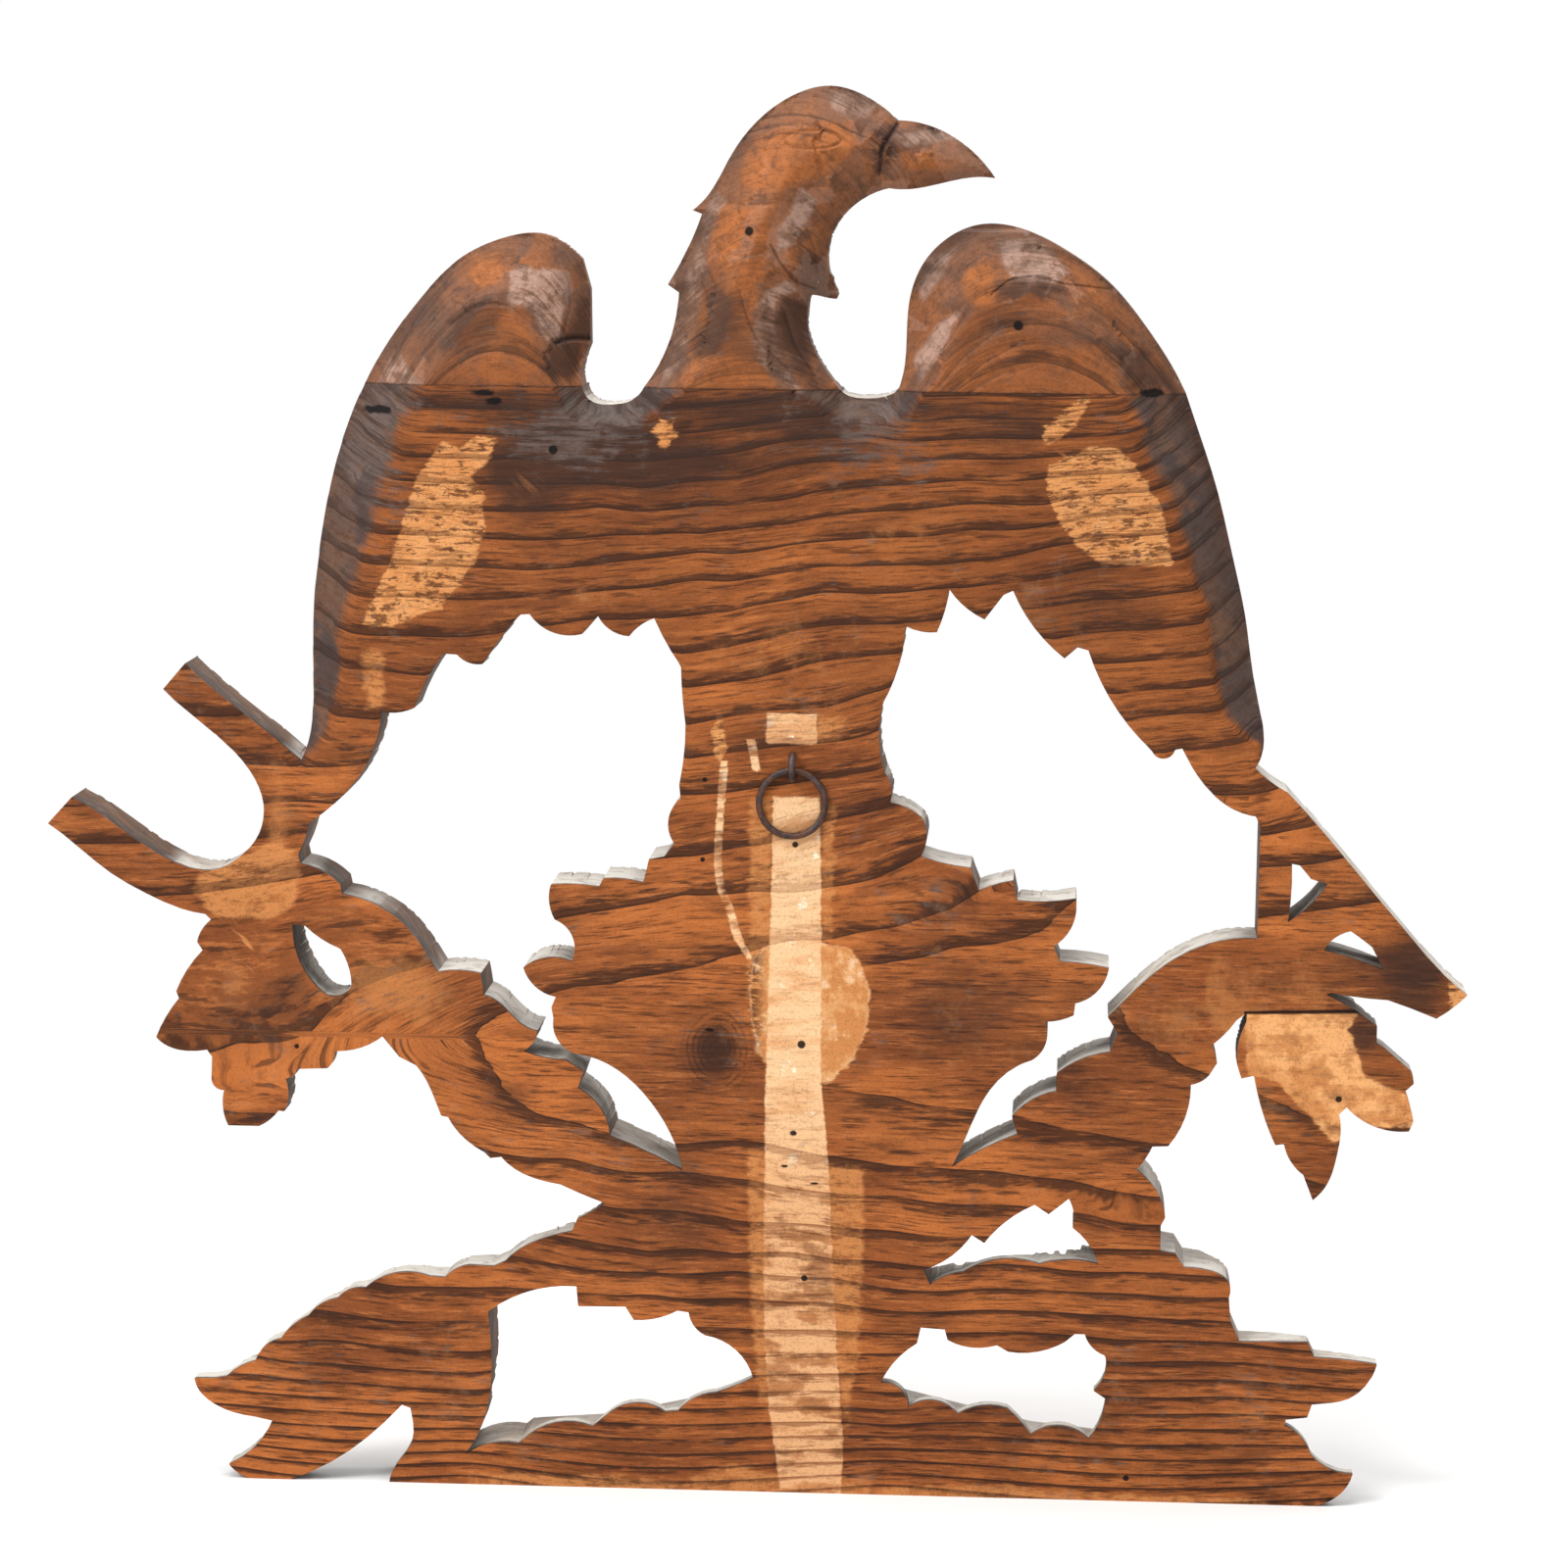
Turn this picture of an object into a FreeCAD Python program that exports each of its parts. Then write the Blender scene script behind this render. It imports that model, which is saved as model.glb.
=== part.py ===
"""Carved wooden eagle plaque: a fretted plank with three pieces glued along its top edge,
a broken leaf glued back on, hidden dowels, and an iron ring in a split pin on the flat back.

The eagle stands on its flat base. +Z is up, the carved front faces -Y, the flat back faces +Y.
Places on the plank are written as shares: across from the left tip, as the back faces you,
and up from the base. Lengths are millimetres.
"""
import FreeCAD, Part
import os

Vector = FreeCAD.Vector

# Driving dimensions

SIZES = [
    ("eagle_width", 650.0),
    ("eagle_height", 646.0),
    ("plank_thickness", 50.0),
    ("rim_thickness", 10.0),
    ("ribbon_thickness", 36.0),
    ("ground_thickness", 40.0),
    ("primary_thickness", 25.0),
    ("secondary_thickness", 32.0),
    ("covert_thickness", 39.0),
    ("shoulder_thickness", 44.0),
    ("dowel_diameter", 8.0),
    ("dowel_length", 52.0),
    ("dowel_end_room", 1.5),
    ("dowel_set_back", 21.0),
    ("staple_wire", 3.2),
    ("staple_leg_spacing", 10.4),
    ("staple_straight", 3.4),
    ("staple_drive", 20.0),
    ("ring_diameter", 33.0),
    ("ring_wire", 3.0),
    ("ring_clearance", 0.3),
    ("overrun", 4.0),
]

doc = FreeCAD.newDocument("CarvedEagle")
sheet = doc.addObject("Spreadsheet::Sheet", "Sizes")
for row, (name, value) in enumerate(SIZES, start=1):
    sheet.set("A%d" % row, name)
    sheet.set("B%d" % row, str(value))
    sheet.setAlias("B%d" % row, name)
doc.recompute()


def size(name):
    """The sheet's value under a name."""
    return float(sheet.get(name))


eagle_width = size("eagle_width")
eagle_height = size("eagle_height")
plank_thickness = size("plank_thickness")

# The staple's eye stands out from the back, so the back face lies behind the middle by this
STAPLE_REACH = "(Sizes.staple_straight + (Sizes.staple_leg_spacing + Sizes.staple_wire) / 2)"
BACK_FACE = "(Sizes.plank_thickness - %s) / 2" % STAPLE_REACH
sheet.set("A%d" % (len(SIZES) + 1), "back_face")
sheet.set("B%d" % (len(SIZES) + 1), "=" + BACK_FACE.replace("Sizes.", ""))
sheet.setAlias("B%d" % (len(SIZES) + 1), "back_face")
doc.recompute()
back_face = size("back_face")

# Where the upper pieces are glued on, as a share of the height
JOINT_SHARE = 0.789

# Outlines. Each run is smooth and starts where the last one ends: one point makes a straight
# edge, two make an arc, and more make a curve through them all.

JOINT_LEFT_SHARES = (0.2225, JOINT_SHARE)

WING_AND_RIBBONS_SHARES = [
    [(0.208, 0.753), (0.192, 0.680), (0.187, 0.600), (0.1845, 0.535), (0.180, 0.522)],
    [(0.160, 0.539), (0.140, 0.5545), (0.098, 0.590)],
    [(0.0825, 0.5715)],
    [
        (0.120, 0.5395), (0.144, 0.514), (0.1535, 0.490), (0.1505, 0.470), (0.136, 0.452),
        (0.121, 0.4435), (0.100, 0.444), (0.080, 0.4525), (0.050, 0.4725), (0.017, 0.493),
    ],
    [(0.0, 0.474)],
    [(0.020, 0.459), (0.045, 0.439), (0.070, 0.425), (0.095, 0.4145), (0.112, 0.411)],
]
LEFT_LEAVES_SHARES = [
    [(0.116, 0.407)],
    [(0.1075, 0.396), (0.106, 0.391)],
    [(0.110, 0.385)],
    [(0.099, 0.371), (0.091, 0.355)],
    [(0.093, 0.350)],
    [(0.084, 0.337), (0.0765, 0.3215)],
    [(0.085, 0.315), (0.097, 0.312), (0.113, 0.313)],
    [(0.1165, 0.308)],
    [(0.116, 0.292)],
    [(0.119, 0.286), (0.125, 0.284)],
    [(0.1245, 0.269), (0.128, 0.2585)],
    [(0.150, 0.2585)],
    [(0.158, 0.2635), (0.164, 0.270)],
    [(0.168, 0.2695)],
    [(0.171, 0.280), (0.169, 0.293)],
    [(0.1755, 0.296)],
    [(0.177, 0.3005)],
    [(0.199, 0.3015)],
    [(0.2025, 0.306), (0.204, 0.314)],
    [(0.218, 0.3155), (0.230, 0.320), (0.238, 0.3255)],
    [(0.250, 0.311)],
    [(0.262, 0.305)],
    [(0.269, 0.295), (0.275, 0.282), (0.280, 0.269)],
    [(0.285, 0.268)],
    [(0.290, 0.260), (0.300, 0.250), (0.311, 0.243)],
    [(0.315, 0.239)],
    [(0.323, 0.240)],
    [(0.335, 0.230), (0.350, 0.224), (0.365, 0.221)],
    [(0.380, 0.2145), (0.397, 0.208)],
]
LEFT_GROUND_SHARES = [
    [(0.388, 0.202), (0.377, 0.196)],
    [(0.3735, 0.187)],
    [(0.360, 0.1835), (0.345, 0.178), (0.326, 0.164)],
    [(0.318, 0.160)],
    [(0.300, 0.1605)],
    [(0.290, 0.157), (0.283, 0.151)],
    [(0.272, 0.1515)],
    [(0.262, 0.154), (0.240, 0.151)],
    [(0.233, 0.1475), (0.226, 0.142)],
    [(0.216, 0.141), (0.206, 0.134)],
    [(0.197, 0.131), (0.185, 0.1205)],
    [(0.174, 0.1135), (0.165, 0.103)],
    [(0.155, 0.0985), (0.147, 0.0865)],
    [(0.134, 0.081), (0.126, 0.0745)],
    [(0.118, 0.073)],
    [(0.103, 0.0725)],
    [(0.108, 0.062), (0.118, 0.054), (0.131, 0.0485), (0.147, 0.0455)],
    [(0.159, 0.043)],
    [(0.152, 0.030), (0.128, 0.010)],
    [(0.135, 0.0035), (0.146, 0.0)],
    [(0.172, 0.0)],
    [(0.187, 0.006), (0.215, 0.0225), (0.240, 0.044), (0.2525, 0.057)],
    [(0.2585, 0.055)],
    [(0.2605, 0.044), (0.260, 0.031), (0.251, 0.0165), (0.2435, 0.0)],
    [(0.900, 0.0)],
]
RIGHT_GROUND_SHARES = [
    [(0.915, 0.005), (0.9245, 0.014), (0.929, 0.024)],
    [(0.912, 0.0275), (0.899, 0.0375)],
    [(0.894, 0.0475), (0.880, 0.058)],
    [(0.881, 0.0625)],
    [(0.896, 0.0645)],
    [(0.899, 0.074)],
    [(0.912, 0.0755), (0.925, 0.079), (0.936, 0.088), (0.944, 0.104)],
    [(0.920, 0.107), (0.900, 0.108)],
    [(0.895, 0.119)],
    [(0.847, 0.118)],
    [(0.8405, 0.133)],
    [(0.839, 0.150)],
    [(0.838, 0.162), (0.820, 0.170), (0.807, 0.171)],
    [(0.8005, 0.181)],
    [(0.790, 0.1825)],
    [(0.790, 0.201)],
    [(0.793, 0.207)],
    [(0.789, 0.221), (0.772, 0.241)],
    [(0.7785, 0.2495), (0.783, 0.258)],
    [(0.794, 0.2585)],
    [(0.803, 0.273), (0.809, 0.303)],
    [(0.816, 0.3055), (0.8215, 0.310)],
    [(0.827, 0.319)],
    [(0.8235, 0.332)],
    [(0.833, 0.341), (0.840, 0.350)],
]
LEAF_JOINT_LEFT_SHARES = (0.847, 0.3555)
LEAF_JOINT_RIGHT_SHARES = (0.924, 0.358)
RIGHT_RIBBON_SHARES = [
    [(0.902, 0.3695)],
    [(0.905, 0.371)],
    [(0.925, 0.368), (0.945, 0.3665)],
    [(0.961, 0.361)],
    [(0.979, 0.354)],
    [(0.991, 0.3625), (1.0, 0.371)],
    [(0.984, 0.3845), (0.960, 0.411), (0.930, 0.446), (0.900, 0.4815), (0.872, 0.512)],
    [(0.862, 0.518), (0.849, 0.529)],
    [
        (0.853, 0.537), (0.849, 0.580), (0.840, 0.635), (0.830, 0.678),
        (0.819, 0.722), (0.803, 0.769), (0.796, JOINT_SHARE),
    ],
]
RIGHT_NOTCH_SHARES = [
    (0.596, JOINT_SHARE), [(0.588, 0.785), (0.575, 0.7835), (0.562, 0.785), (0.556, JOINT_SHARE)],
]
LEFT_NOTCH_SHARES = [
    (0.419, JOINT_SHARE), [(0.411, 0.780), (0.397, 0.7765), (0.384, 0.778), (0.376, JOINT_SHARE)],
]

# Windows sawn through the plank, each starting point followed by its runs

LEFT_WINDOW_SHARES = [
    (0.237, 0.558),
    [(0.234, 0.540), (0.222, 0.513), (0.205, 0.493), (0.186, 0.478)],
    [(0.183, 0.467), (0.178, 0.455)],
    [(0.1795, 0.4485)],
    [(0.193, 0.4445), (0.208, 0.434)],
    [(0.209, 0.427)],
    [(0.235, 0.419), (0.255, 0.4045), (0.269, 0.386), (0.277, 0.3725)],
    [(0.292, 0.374), (0.308, 0.372)],
    [(0.310, 0.3565)],
    [(0.321, 0.351), (0.330, 0.342), (0.348, 0.3315)],
    [(0.345, 0.323), (0.338, 0.317)],
    [(0.352, 0.3125), (0.368, 0.311)],
    [(0.381, 0.303)],
    [(0.377, 0.291)],
    [(0.389, 0.282), (0.397, 0.270), (0.400, 0.257)],
    [(0.425, 0.2465), (0.452, 0.233)],
    [(0.446, 0.253), (0.429, 0.282), (0.405, 0.305), (0.375, 0.316)],
    [(0.361, 0.3285), (0.3595, 0.341)],
    [(0.358, 0.349)],
    [(0.361, 0.3565)],
    [(0.345, 0.365), (0.338, 0.377)],
    [(0.352, 0.384), (0.372, 0.382)],
    [(0.374, 0.395), (0.360, 0.412)],
    [(0.356, 0.424), (0.357, 0.437)],
    [(0.375, 0.4375), (0.391, 0.436)],
    [(0.394, 0.442)],
    [(0.408, 0.442), (0.4225, 0.4395)],
    [(0.426, 0.456)],
    [(0.437, 0.4585)],
    [(0.444, 0.468)],
    [(0.4395, 0.484), (0.448, 0.500)],
    [(0.447, 0.510)],
    [(0.450, 0.530), (0.451, 0.553)],
    [(0.4485, 0.575), (0.4475, 0.594)],
    [(0.439, 0.607), (0.4285, 0.6275)],
    [(0.419, 0.6225), (0.411, 0.6145)],
    [(0.399, 0.618), (0.389, 0.6285)],
    [(0.378, 0.6155)],
    [(0.362, 0.615), (0.341, 0.629)],
    [(0.334, 0.6285)],
    [(0.320, 0.611), (0.308, 0.593)],
    [(0.298, 0.594), (0.290, 0.5995)],
    [(0.2805, 0.600)],
    [(0.268, 0.580), (0.260, 0.561)],
    [(0.248, 0.5575), (0.237, 0.558)],
]
RIGHT_WINDOW_SHARES = [
    (0.604, 0.625),
    [(0.601, 0.602), (0.589, 0.570)],
    [(0.5865, 0.548), (0.591, 0.521)],
    [(0.5955, 0.512), (0.595, 0.5)],
    [(0.609, 0.4955), (0.617, 0.490)],
    [(0.621, 0.476), (0.617, 0.462)],
    [(0.635, 0.457), (0.652, 0.4545)],
    [(0.658, 0.4385)],
    [(0.671, 0.4435), (0.682, 0.446)],
    [(0.685, 0.432)],
    [(0.704, 0.4315), (0.726, 0.434)],
    [(0.723, 0.413), (0.711, 0.400)],
    [(0.7155, 0.389)],
    [(0.732, 0.388), (0.750, 0.385)],
    [(0.744, 0.3705), (0.727, 0.3595)],
    [(0.726, 0.351)],
    [(0.717, 0.3475), (0.706, 0.346)],
    [(0.707, 0.331), (0.697, 0.318)],
    [(0.680, 0.309), (0.668, 0.296), (0.655, 0.270), (0.642, 0.240)],
    [(0.665, 0.254), (0.688, 0.2645)],
    [(0.684, 0.277)],
    [(0.697, 0.289), (0.715, 0.296)],
    [(0.715, 0.309)],
    [(0.731, 0.319), (0.752, 0.325)],
    [(0.757, 0.339)],
    [(0.750, 0.350)],
    [(0.770, 0.371), (0.795, 0.392), (0.820, 0.404), (0.853, 0.408)],
    [(0.8535, 0.488)],
    [(0.850, 0.495)],
    [(0.831, 0.5015), (0.814, 0.5165), (0.798, 0.542)],
    [(0.793, 0.541)],
    [(0.785, 0.5345), (0.777, 0.540)],
    [(0.755, 0.5645), (0.7315, 0.610)],
    [(0.724, 0.612)],
    [(0.715, 0.604)],
    [(0.695, 0.6235), (0.6785, 0.651)],
    [(0.672, 0.648)],
    [(0.659, 0.6305)],
    [(0.646, 0.6385), (0.634, 0.6515)],
    [(0.631, 0.635), (0.626, 0.621)],
    [(0.614, 0.6215), (0.604, 0.625)],
]
LEFT_EYELET_SHARES = [
    (0.174, 0.405),
    [(0.183, 0.404)],
    [(0.195, 0.3945), (0.208, 0.388)],
    [(0.214, 0.375), (0.216, 0.361)],
    [(0.207, 0.354), (0.197, 0.355)],
    [(0.181, 0.374), (0.174, 0.405)],
]
RIGHT_EYELET_UPPER_SHARES = [
    (0.876, 0.462),
    [(0.8815, 0.461)],
    [(0.8895, 0.4515)],
    [(0.901, 0.448)],
    [(0.889, 0.4325), (0.874, 0.4205)],
    [(0.876, 0.440), (0.876, 0.462)],
]
RIGHT_EYELET_LOWER_SHARES = [
    (0.8995, 0.401),
    [(0.907, 0.410), (0.918, 0.415)],
    [(0.9265, 0.409), (0.933, 0.404)],
    [(0.9415, 0.388)],
    [(0.922, 0.395), (0.8995, 0.401)],
]
LOWER_LEFT_WINDOW_SHARES = [
    (0.314, 0.127),
    [(0.343, 0.1425), (0.377, 0.147)],
    [(0.378, 0.1325)],
    [(0.412, 0.133)],
    [(0.418, 0.1235)],
    [(0.434, 0.125), (0.449, 0.131)],
    [(0.457, 0.130)],
    [(0.461, 0.120), (0.469, 0.1135)],
    [(0.489, 0.105), (0.5035, 0.083)],
    [(0.490, 0.0765), (0.477, 0.0715)],
    [(0.4605, 0.0665), (0.450, 0.0575)],
    [(0.441, 0.0565)],
    [(0.421, 0.0625), (0.399, 0.053)],
    [(0.389, 0.0445)],
    [(0.370, 0.0475), (0.344, 0.0375)],
    [(0.336, 0.0305)],
    [(0.318, 0.0305), (0.298, 0.022)],
    [(0.314, 0.058), (0.3165, 0.095), (0.314, 0.127)],
]
LOWER_RIGHT_WINDOW_SHARES = [
    (0.594, 0.082),
    [(0.604, 0.098), (0.6195, 0.1115)],
    [(0.622, 0.123)],
    [(0.639, 0.122)],
    [(0.641, 0.1145)],
    [(0.657, 0.1095), (0.676, 0.1115)],
    [(0.684, 0.107)],
    [(0.705, 0.1075), (0.724, 0.115)],
    [(0.731, 0.121)],
    [(0.738, 0.121)],
    [(0.744, 0.111), (0.7525, 0.106)],
    [(0.753, 0.094), (0.745, 0.080)],
    [(0.7535, 0.0745)],
    [(0.750, 0.058), (0.742, 0.0445)],
    [(0.724, 0.0535), (0.701, 0.0465)],
    [(0.691, 0.059), (0.684, 0.0655)],
    [(0.664, 0.0665), (0.649, 0.0605)],
    [(0.634, 0.0695), (0.614, 0.0645)],
    [(0.6075, 0.078), (0.594, 0.082)],
]
UPPER_RIGHT_WINDOW_SHARES = [
    (0.6235, 0.165),
    [(0.641, 0.174), (0.657, 0.191)],
    [(0.666, 0.1855)],
    [(0.681, 0.2015), (0.701, 0.214)],
    [(0.711, 0.2075)],
    [(0.725, 0.219)],
    [(0.7285, 0.209), (0.728, 0.198)],
    [(0.738, 0.1885), (0.7465, 0.172)],
    [(0.725, 0.1745), (0.705, 0.171)],
    [(0.672, 0.173), (0.651, 0.164)],
    [(0.639, 0.161), (0.628, 0.154)],
]

# The pieces glued on

LEFT_WING_TOP_SHARES = [
    JOINT_LEFT_SHARES,
    [
        (0.236, 0.814), (0.262, 0.850), (0.290, 0.878), (0.318, 0.8915), (0.340, 0.895),
        (0.363, 0.887), (0.379, 0.8705), (0.386, 0.848), (0.3825, 0.824), (0.375, 0.801),
        (0.376, JOINT_SHARE),
    ],
]
HEAD_SHARES = [
    (0.419, JOINT_SHARE),
    [(0.432, 0.811), (0.439, 0.832), (0.442, 0.855)],
    [(0.434, 0.8605)],
    [(0.446, 0.882), (0.4575, 0.910)],
    [(0.451, 0.9125)],
    [
        (0.463, 0.925), (0.478, 0.952), (0.495, 0.9745), (0.518, 0.992), (0.546, 1.0),
        (0.572, 0.992), (0.593, 0.9765),
    ],
    [(0.618, 0.972), (0.642, 0.958), (0.661, 0.937)],
    [(0.638, 0.9365), (0.612, 0.9305), (0.588, 0.9295)],
    [(0.568, 0.921), (0.551, 0.903), (0.5455, 0.880), (0.547, 0.870)],
    [(0.557, 0.854)],
    [(0.549, 0.8505), (0.534, 0.851)],
    [(0.533, 0.828), (0.541, 0.809), (0.556, JOINT_SHARE)],
]
RIGHT_WING_TOP_SHARES = [
    (0.596, JOINT_SHARE),
    [
        (0.601, 0.815), (0.602, 0.845), (0.609, 0.872), (0.625, 0.8925), (0.650, 0.9045),
        (0.680, 0.902), (0.712, 0.887), (0.741, 0.866), (0.766, 0.837), (0.787, 0.806),
        (0.796, JOINT_SHARE),
    ],
]
LEAF_SHARES = [
    LEAF_JOINT_RIGHT_SHARES,
    [(0.936, 0.349), (0.948, 0.342)],
    [(0.946, 0.336)],
    [(0.959, 0.324), (0.9645, 0.307)],
    [(0.959, 0.302)],
    [(0.9625, 0.291), (0.965, 0.280)],
    [(0.962, 0.273)],
    [(0.939, 0.2755), (0.918, 0.2895)],
    [(0.913, 0.284)],
    [(0.9145, 0.272), (0.9125, 0.256), (0.907, 0.236), (0.896, 0.222)],
    [(0.889, 0.240)],
    [(0.880, 0.2495), (0.875, 0.262)],
    [(0.869, 0.261)],
    [(0.860, 0.283), (0.853, 0.3105)],
    [(0.843, 0.308)],
    [(0.841, 0.329), (0.847, 0.349)],
    [LEAF_JOINT_LEFT_SHARES],
]


def place(shares, depth=0.0):
    """The point at shares across and up, depth in front of the back face."""
    across, up = shares
    return Vector((1 / 2 - across) * eagle_width, back_face - depth, up * eagle_height)


def run_edge(points):
    """One smooth edge through points: straight, an arc or a curve."""
    if len(points) == 2:
        return Part.makeLine(*points)
    if len(points) == 3:
        return Part.Arc(*points).toShape()
    curve = Part.BSplineCurve()
    curve.interpolate(points)
    return curve.toShape()


def outline_wire(start, runs):
    """A closed wire on the back face from a starting point and its runs."""
    edges = []
    last = start
    for run in runs:
        points = [place(shares) for shares in [last] + list(run)]
        edges.append(run_edge(points))
        last = run[-1]
    if (place(last) - place(start)).Length > edges[0].Length * 1e-6:
        edges.append(Part.makeLine(place(last), place(start)))
    return Part.Wire(edges)


def outline_of(table):
    """A closed wire from a table whose first entry is the starting point."""
    return outline_wire(table[0], table[1:])


def profile(name, outer, inner=()):
    """A flat profile on the back face, with its windows."""
    feature = doc.addObject("Part::Feature", name)
    feature.Shape = Part.makeFace([outer] + list(inner), "Part::FaceMakerBullseye")
    return feature


def prism(name, base, thickness):
    """A profile sawn out of wood as thick as an expression says."""
    solid = doc.addObject("Part::Extrusion", name)
    solid.Base = base
    solid.DirMode = "Custom"
    solid.Dir = Vector(0, -1, 0)
    solid.Solid = True
    solid.setExpression("LengthFwd", thickness)
    return solid


def flat_face(*corners):
    """A flat face between corner points."""
    return Part.Face(Part.makePolygon(list(corners) + [corners[0]]))


def whittled(name, sections):
    """A solid of flat knife cuts running from section to section."""
    faces = [flat_face(*sections[0]), flat_face(*sections[-1])]
    for first, second in zip(sections, sections[1:]):
        for number, corner in enumerate(first):
            beside = (number + 1) % len(first)
            faces.append(flat_face(corner, first[beside], second[beside]))
            faces.append(flat_face(corner, second[beside], second[number]))
    solid = Part.makeSolid(Part.makeShell(faces))
    if solid.Volume < 0:
        solid.reverse()
    feature = doc.addObject("Part::Feature", name)
    feature.Shape = solid
    return feature


def joined(name, kind, pieces):
    """Several solids fused, or what they have in common."""
    result = doc.addObject("Part::MultiFuse" if kind == "fuse" else "Part::MultiCommon", name)
    result.Shapes = pieces
    return result


def cut(name, base, tool):
    """One solid with another taken out of it."""
    result = doc.addObject("Part::Cut", name)
    result.Base = base
    result.Tool = tool
    return result


# Relief of the carved front. Heights are shares of the plank's thickness.

# Where a ridge's front and back turn over towards its edges, as shares of its half width
FRONT_FLANK_SHARE = 0.55
BACK_FLANK_SHARE = 0.4

# How far the shoulders of a ridge lie below its crown, as a share of the rise from edge to crown
SHOULDER_SHARE = 0.25


def ridge(name, path, halves, crowns, sides, backs=None):
    """A carved ridge along a path: a crown between two chamfers, with a flat or a cut back."""
    sections = []
    for number, middle in enumerate(path):
        before = place(path[max(number - 1, 0)])
        after = place(path[min(number + 1, len(path) - 1)])
        along = (after - before).normalize()
        side = Vector(along.z, 0, -along.x)
        crown = crowns[number]
        edge = sides[number]
        shoulder = crown - (crown - edge) * SHOULDER_SHARE
        corners = [
            (-1, edge), (-FRONT_FLANK_SHARE, shoulder), (0, crown), (FRONT_FLANK_SHARE, shoulder), (1, edge),
        ]
        if backs:
            middle_back, edge_back = backs[number]
            corners += [
                (1, edge_back), (BACK_FLANK_SHARE, middle_back), (-BACK_FLANK_SHARE, middle_back), (-1, edge_back),
            ]
        else:
            corners += [(1, 0), (-1, 0)]
        section = []
        for across, depth in corners:
            reach = across * halves[number] * eagle_width
            section.append(place(middle, depth * plank_thickness) + side * reach)
        sections.append(section)
    return whittled(name, sections)


RIDGE_SHARES = {
    "breast": (
        [
            (0.497, 0.830), (0.505, 0.770), (0.515, 0.700), (0.519, 0.630), (0.519, 0.560), (0.523, 0.490),
            (0.530, 0.440),
        ],
        [0.072, 0.085, 0.098, 0.098, 0.088, 0.100, 0.100],
        [0.86, 0.93, 1.0, 0.99, 0.93, 0.86, 0.72],
        [0.60, 0.62, 0.62, 0.62, 0.60, 0.60, 0.55],
    ),
    "left_leading_edge": (
        [(0.266, 0.830), (0.258, 0.760), (0.240, 0.690), (0.222, 0.620), (0.210, 0.560), (0.205, 0.500)],
        [0.066, 0.064, 0.054, 0.040, 0.030, 0.026],
        [0.93, 0.93, 0.88, 0.82, 0.78, 0.74],
        [0.55, 0.55, 0.55, 0.52, 0.50, 0.50],
    ),
    "right_leading_edge": (
        [(0.750, 0.830), (0.764, 0.760), (0.782, 0.690), (0.803, 0.620), (0.822, 0.560), (0.840, 0.510)],
        [0.066, 0.064, 0.054, 0.042, 0.034, 0.026],
        [0.93, 0.93, 0.88, 0.82, 0.78, 0.74],
        [0.55, 0.55, 0.55, 0.52, 0.50, 0.50],
    ),
    "left_branch": (
        [
            (0.520, 0.205), (0.450, 0.225), (0.395, 0.255), (0.330, 0.315), (0.270, 0.365), (0.215, 0.400),
            (0.150, 0.425),
        ],
        [0.040, 0.044, 0.046, 0.050, 0.050, 0.045, 0.040],
        [0.90, 0.90, 0.88, 0.86, 0.84, 0.82, 0.78],
        [0.60, 0.60, 0.60, 0.60, 0.60, 0.60, 0.60],
    ),
    "right_branch": (
        [(0.560, 0.200), (0.660, 0.235), (0.720, 0.280), (0.780, 0.335), (0.840, 0.375), (0.900, 0.385)],
        [0.040, 0.044, 0.050, 0.054, 0.050, 0.040],
        [0.90, 0.90, 0.88, 0.86, 0.84, 0.78],
        [0.60, 0.60, 0.60, 0.60, 0.60, 0.60],
    ),
    "left_hanging_leaf": (
        [(0.190, 0.400), (0.160, 0.350), (0.145, 0.300), (0.142, 0.255)],
        [0.050, 0.060, 0.040, 0.024],
        [0.80, 0.74, 0.62, 0.44],
        [0.50, 0.44, 0.40, 0.34],
    ),
    "left_leaf": (
        [(0.520, 0.165), (0.420, 0.165), (0.330, 0.125), (0.240, 0.100), (0.160, 0.080), (0.100, 0.065)],
        [0.030, 0.034, 0.046, 0.050, 0.036, 0.020],
        [0.90, 0.86, 0.76, 0.60, 0.42, 0.26],
        [0.56, 0.50, 0.44, 0.34, 0.24, 0.18],
    ),
    "left_leaf_lobe": (
        [(0.300, 0.085), (0.230, 0.050), (0.180, 0.022), (0.120, 0.000)],
        [0.040, 0.032, 0.024, 0.016],
        [0.70, 0.58, 0.46, 0.30],
        [0.44, 0.38, 0.30, 0.22],
    ),
    "right_leaf": (
        [(0.540, 0.150), (0.640, 0.140), (0.740, 0.145), (0.830, 0.112), (0.900, 0.092), (0.955, 0.088)],
        [0.026, 0.022, 0.034, 0.042, 0.026, 0.018],
        [0.90, 0.84, 0.78, 0.56, 0.42, 0.30],
        [0.56, 0.50, 0.44, 0.24, 0.24, 0.20],
    ),
    "right_scroll": (
        [(0.740, 0.270), (0.765, 0.220), (0.790, 0.170), (0.800, 0.120)],
        [0.040, 0.044, 0.052, 0.040],
        [0.90, 0.94, 0.94, 0.80],
        [0.62, 0.70, 0.74, 0.50],
    ),
}

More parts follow.
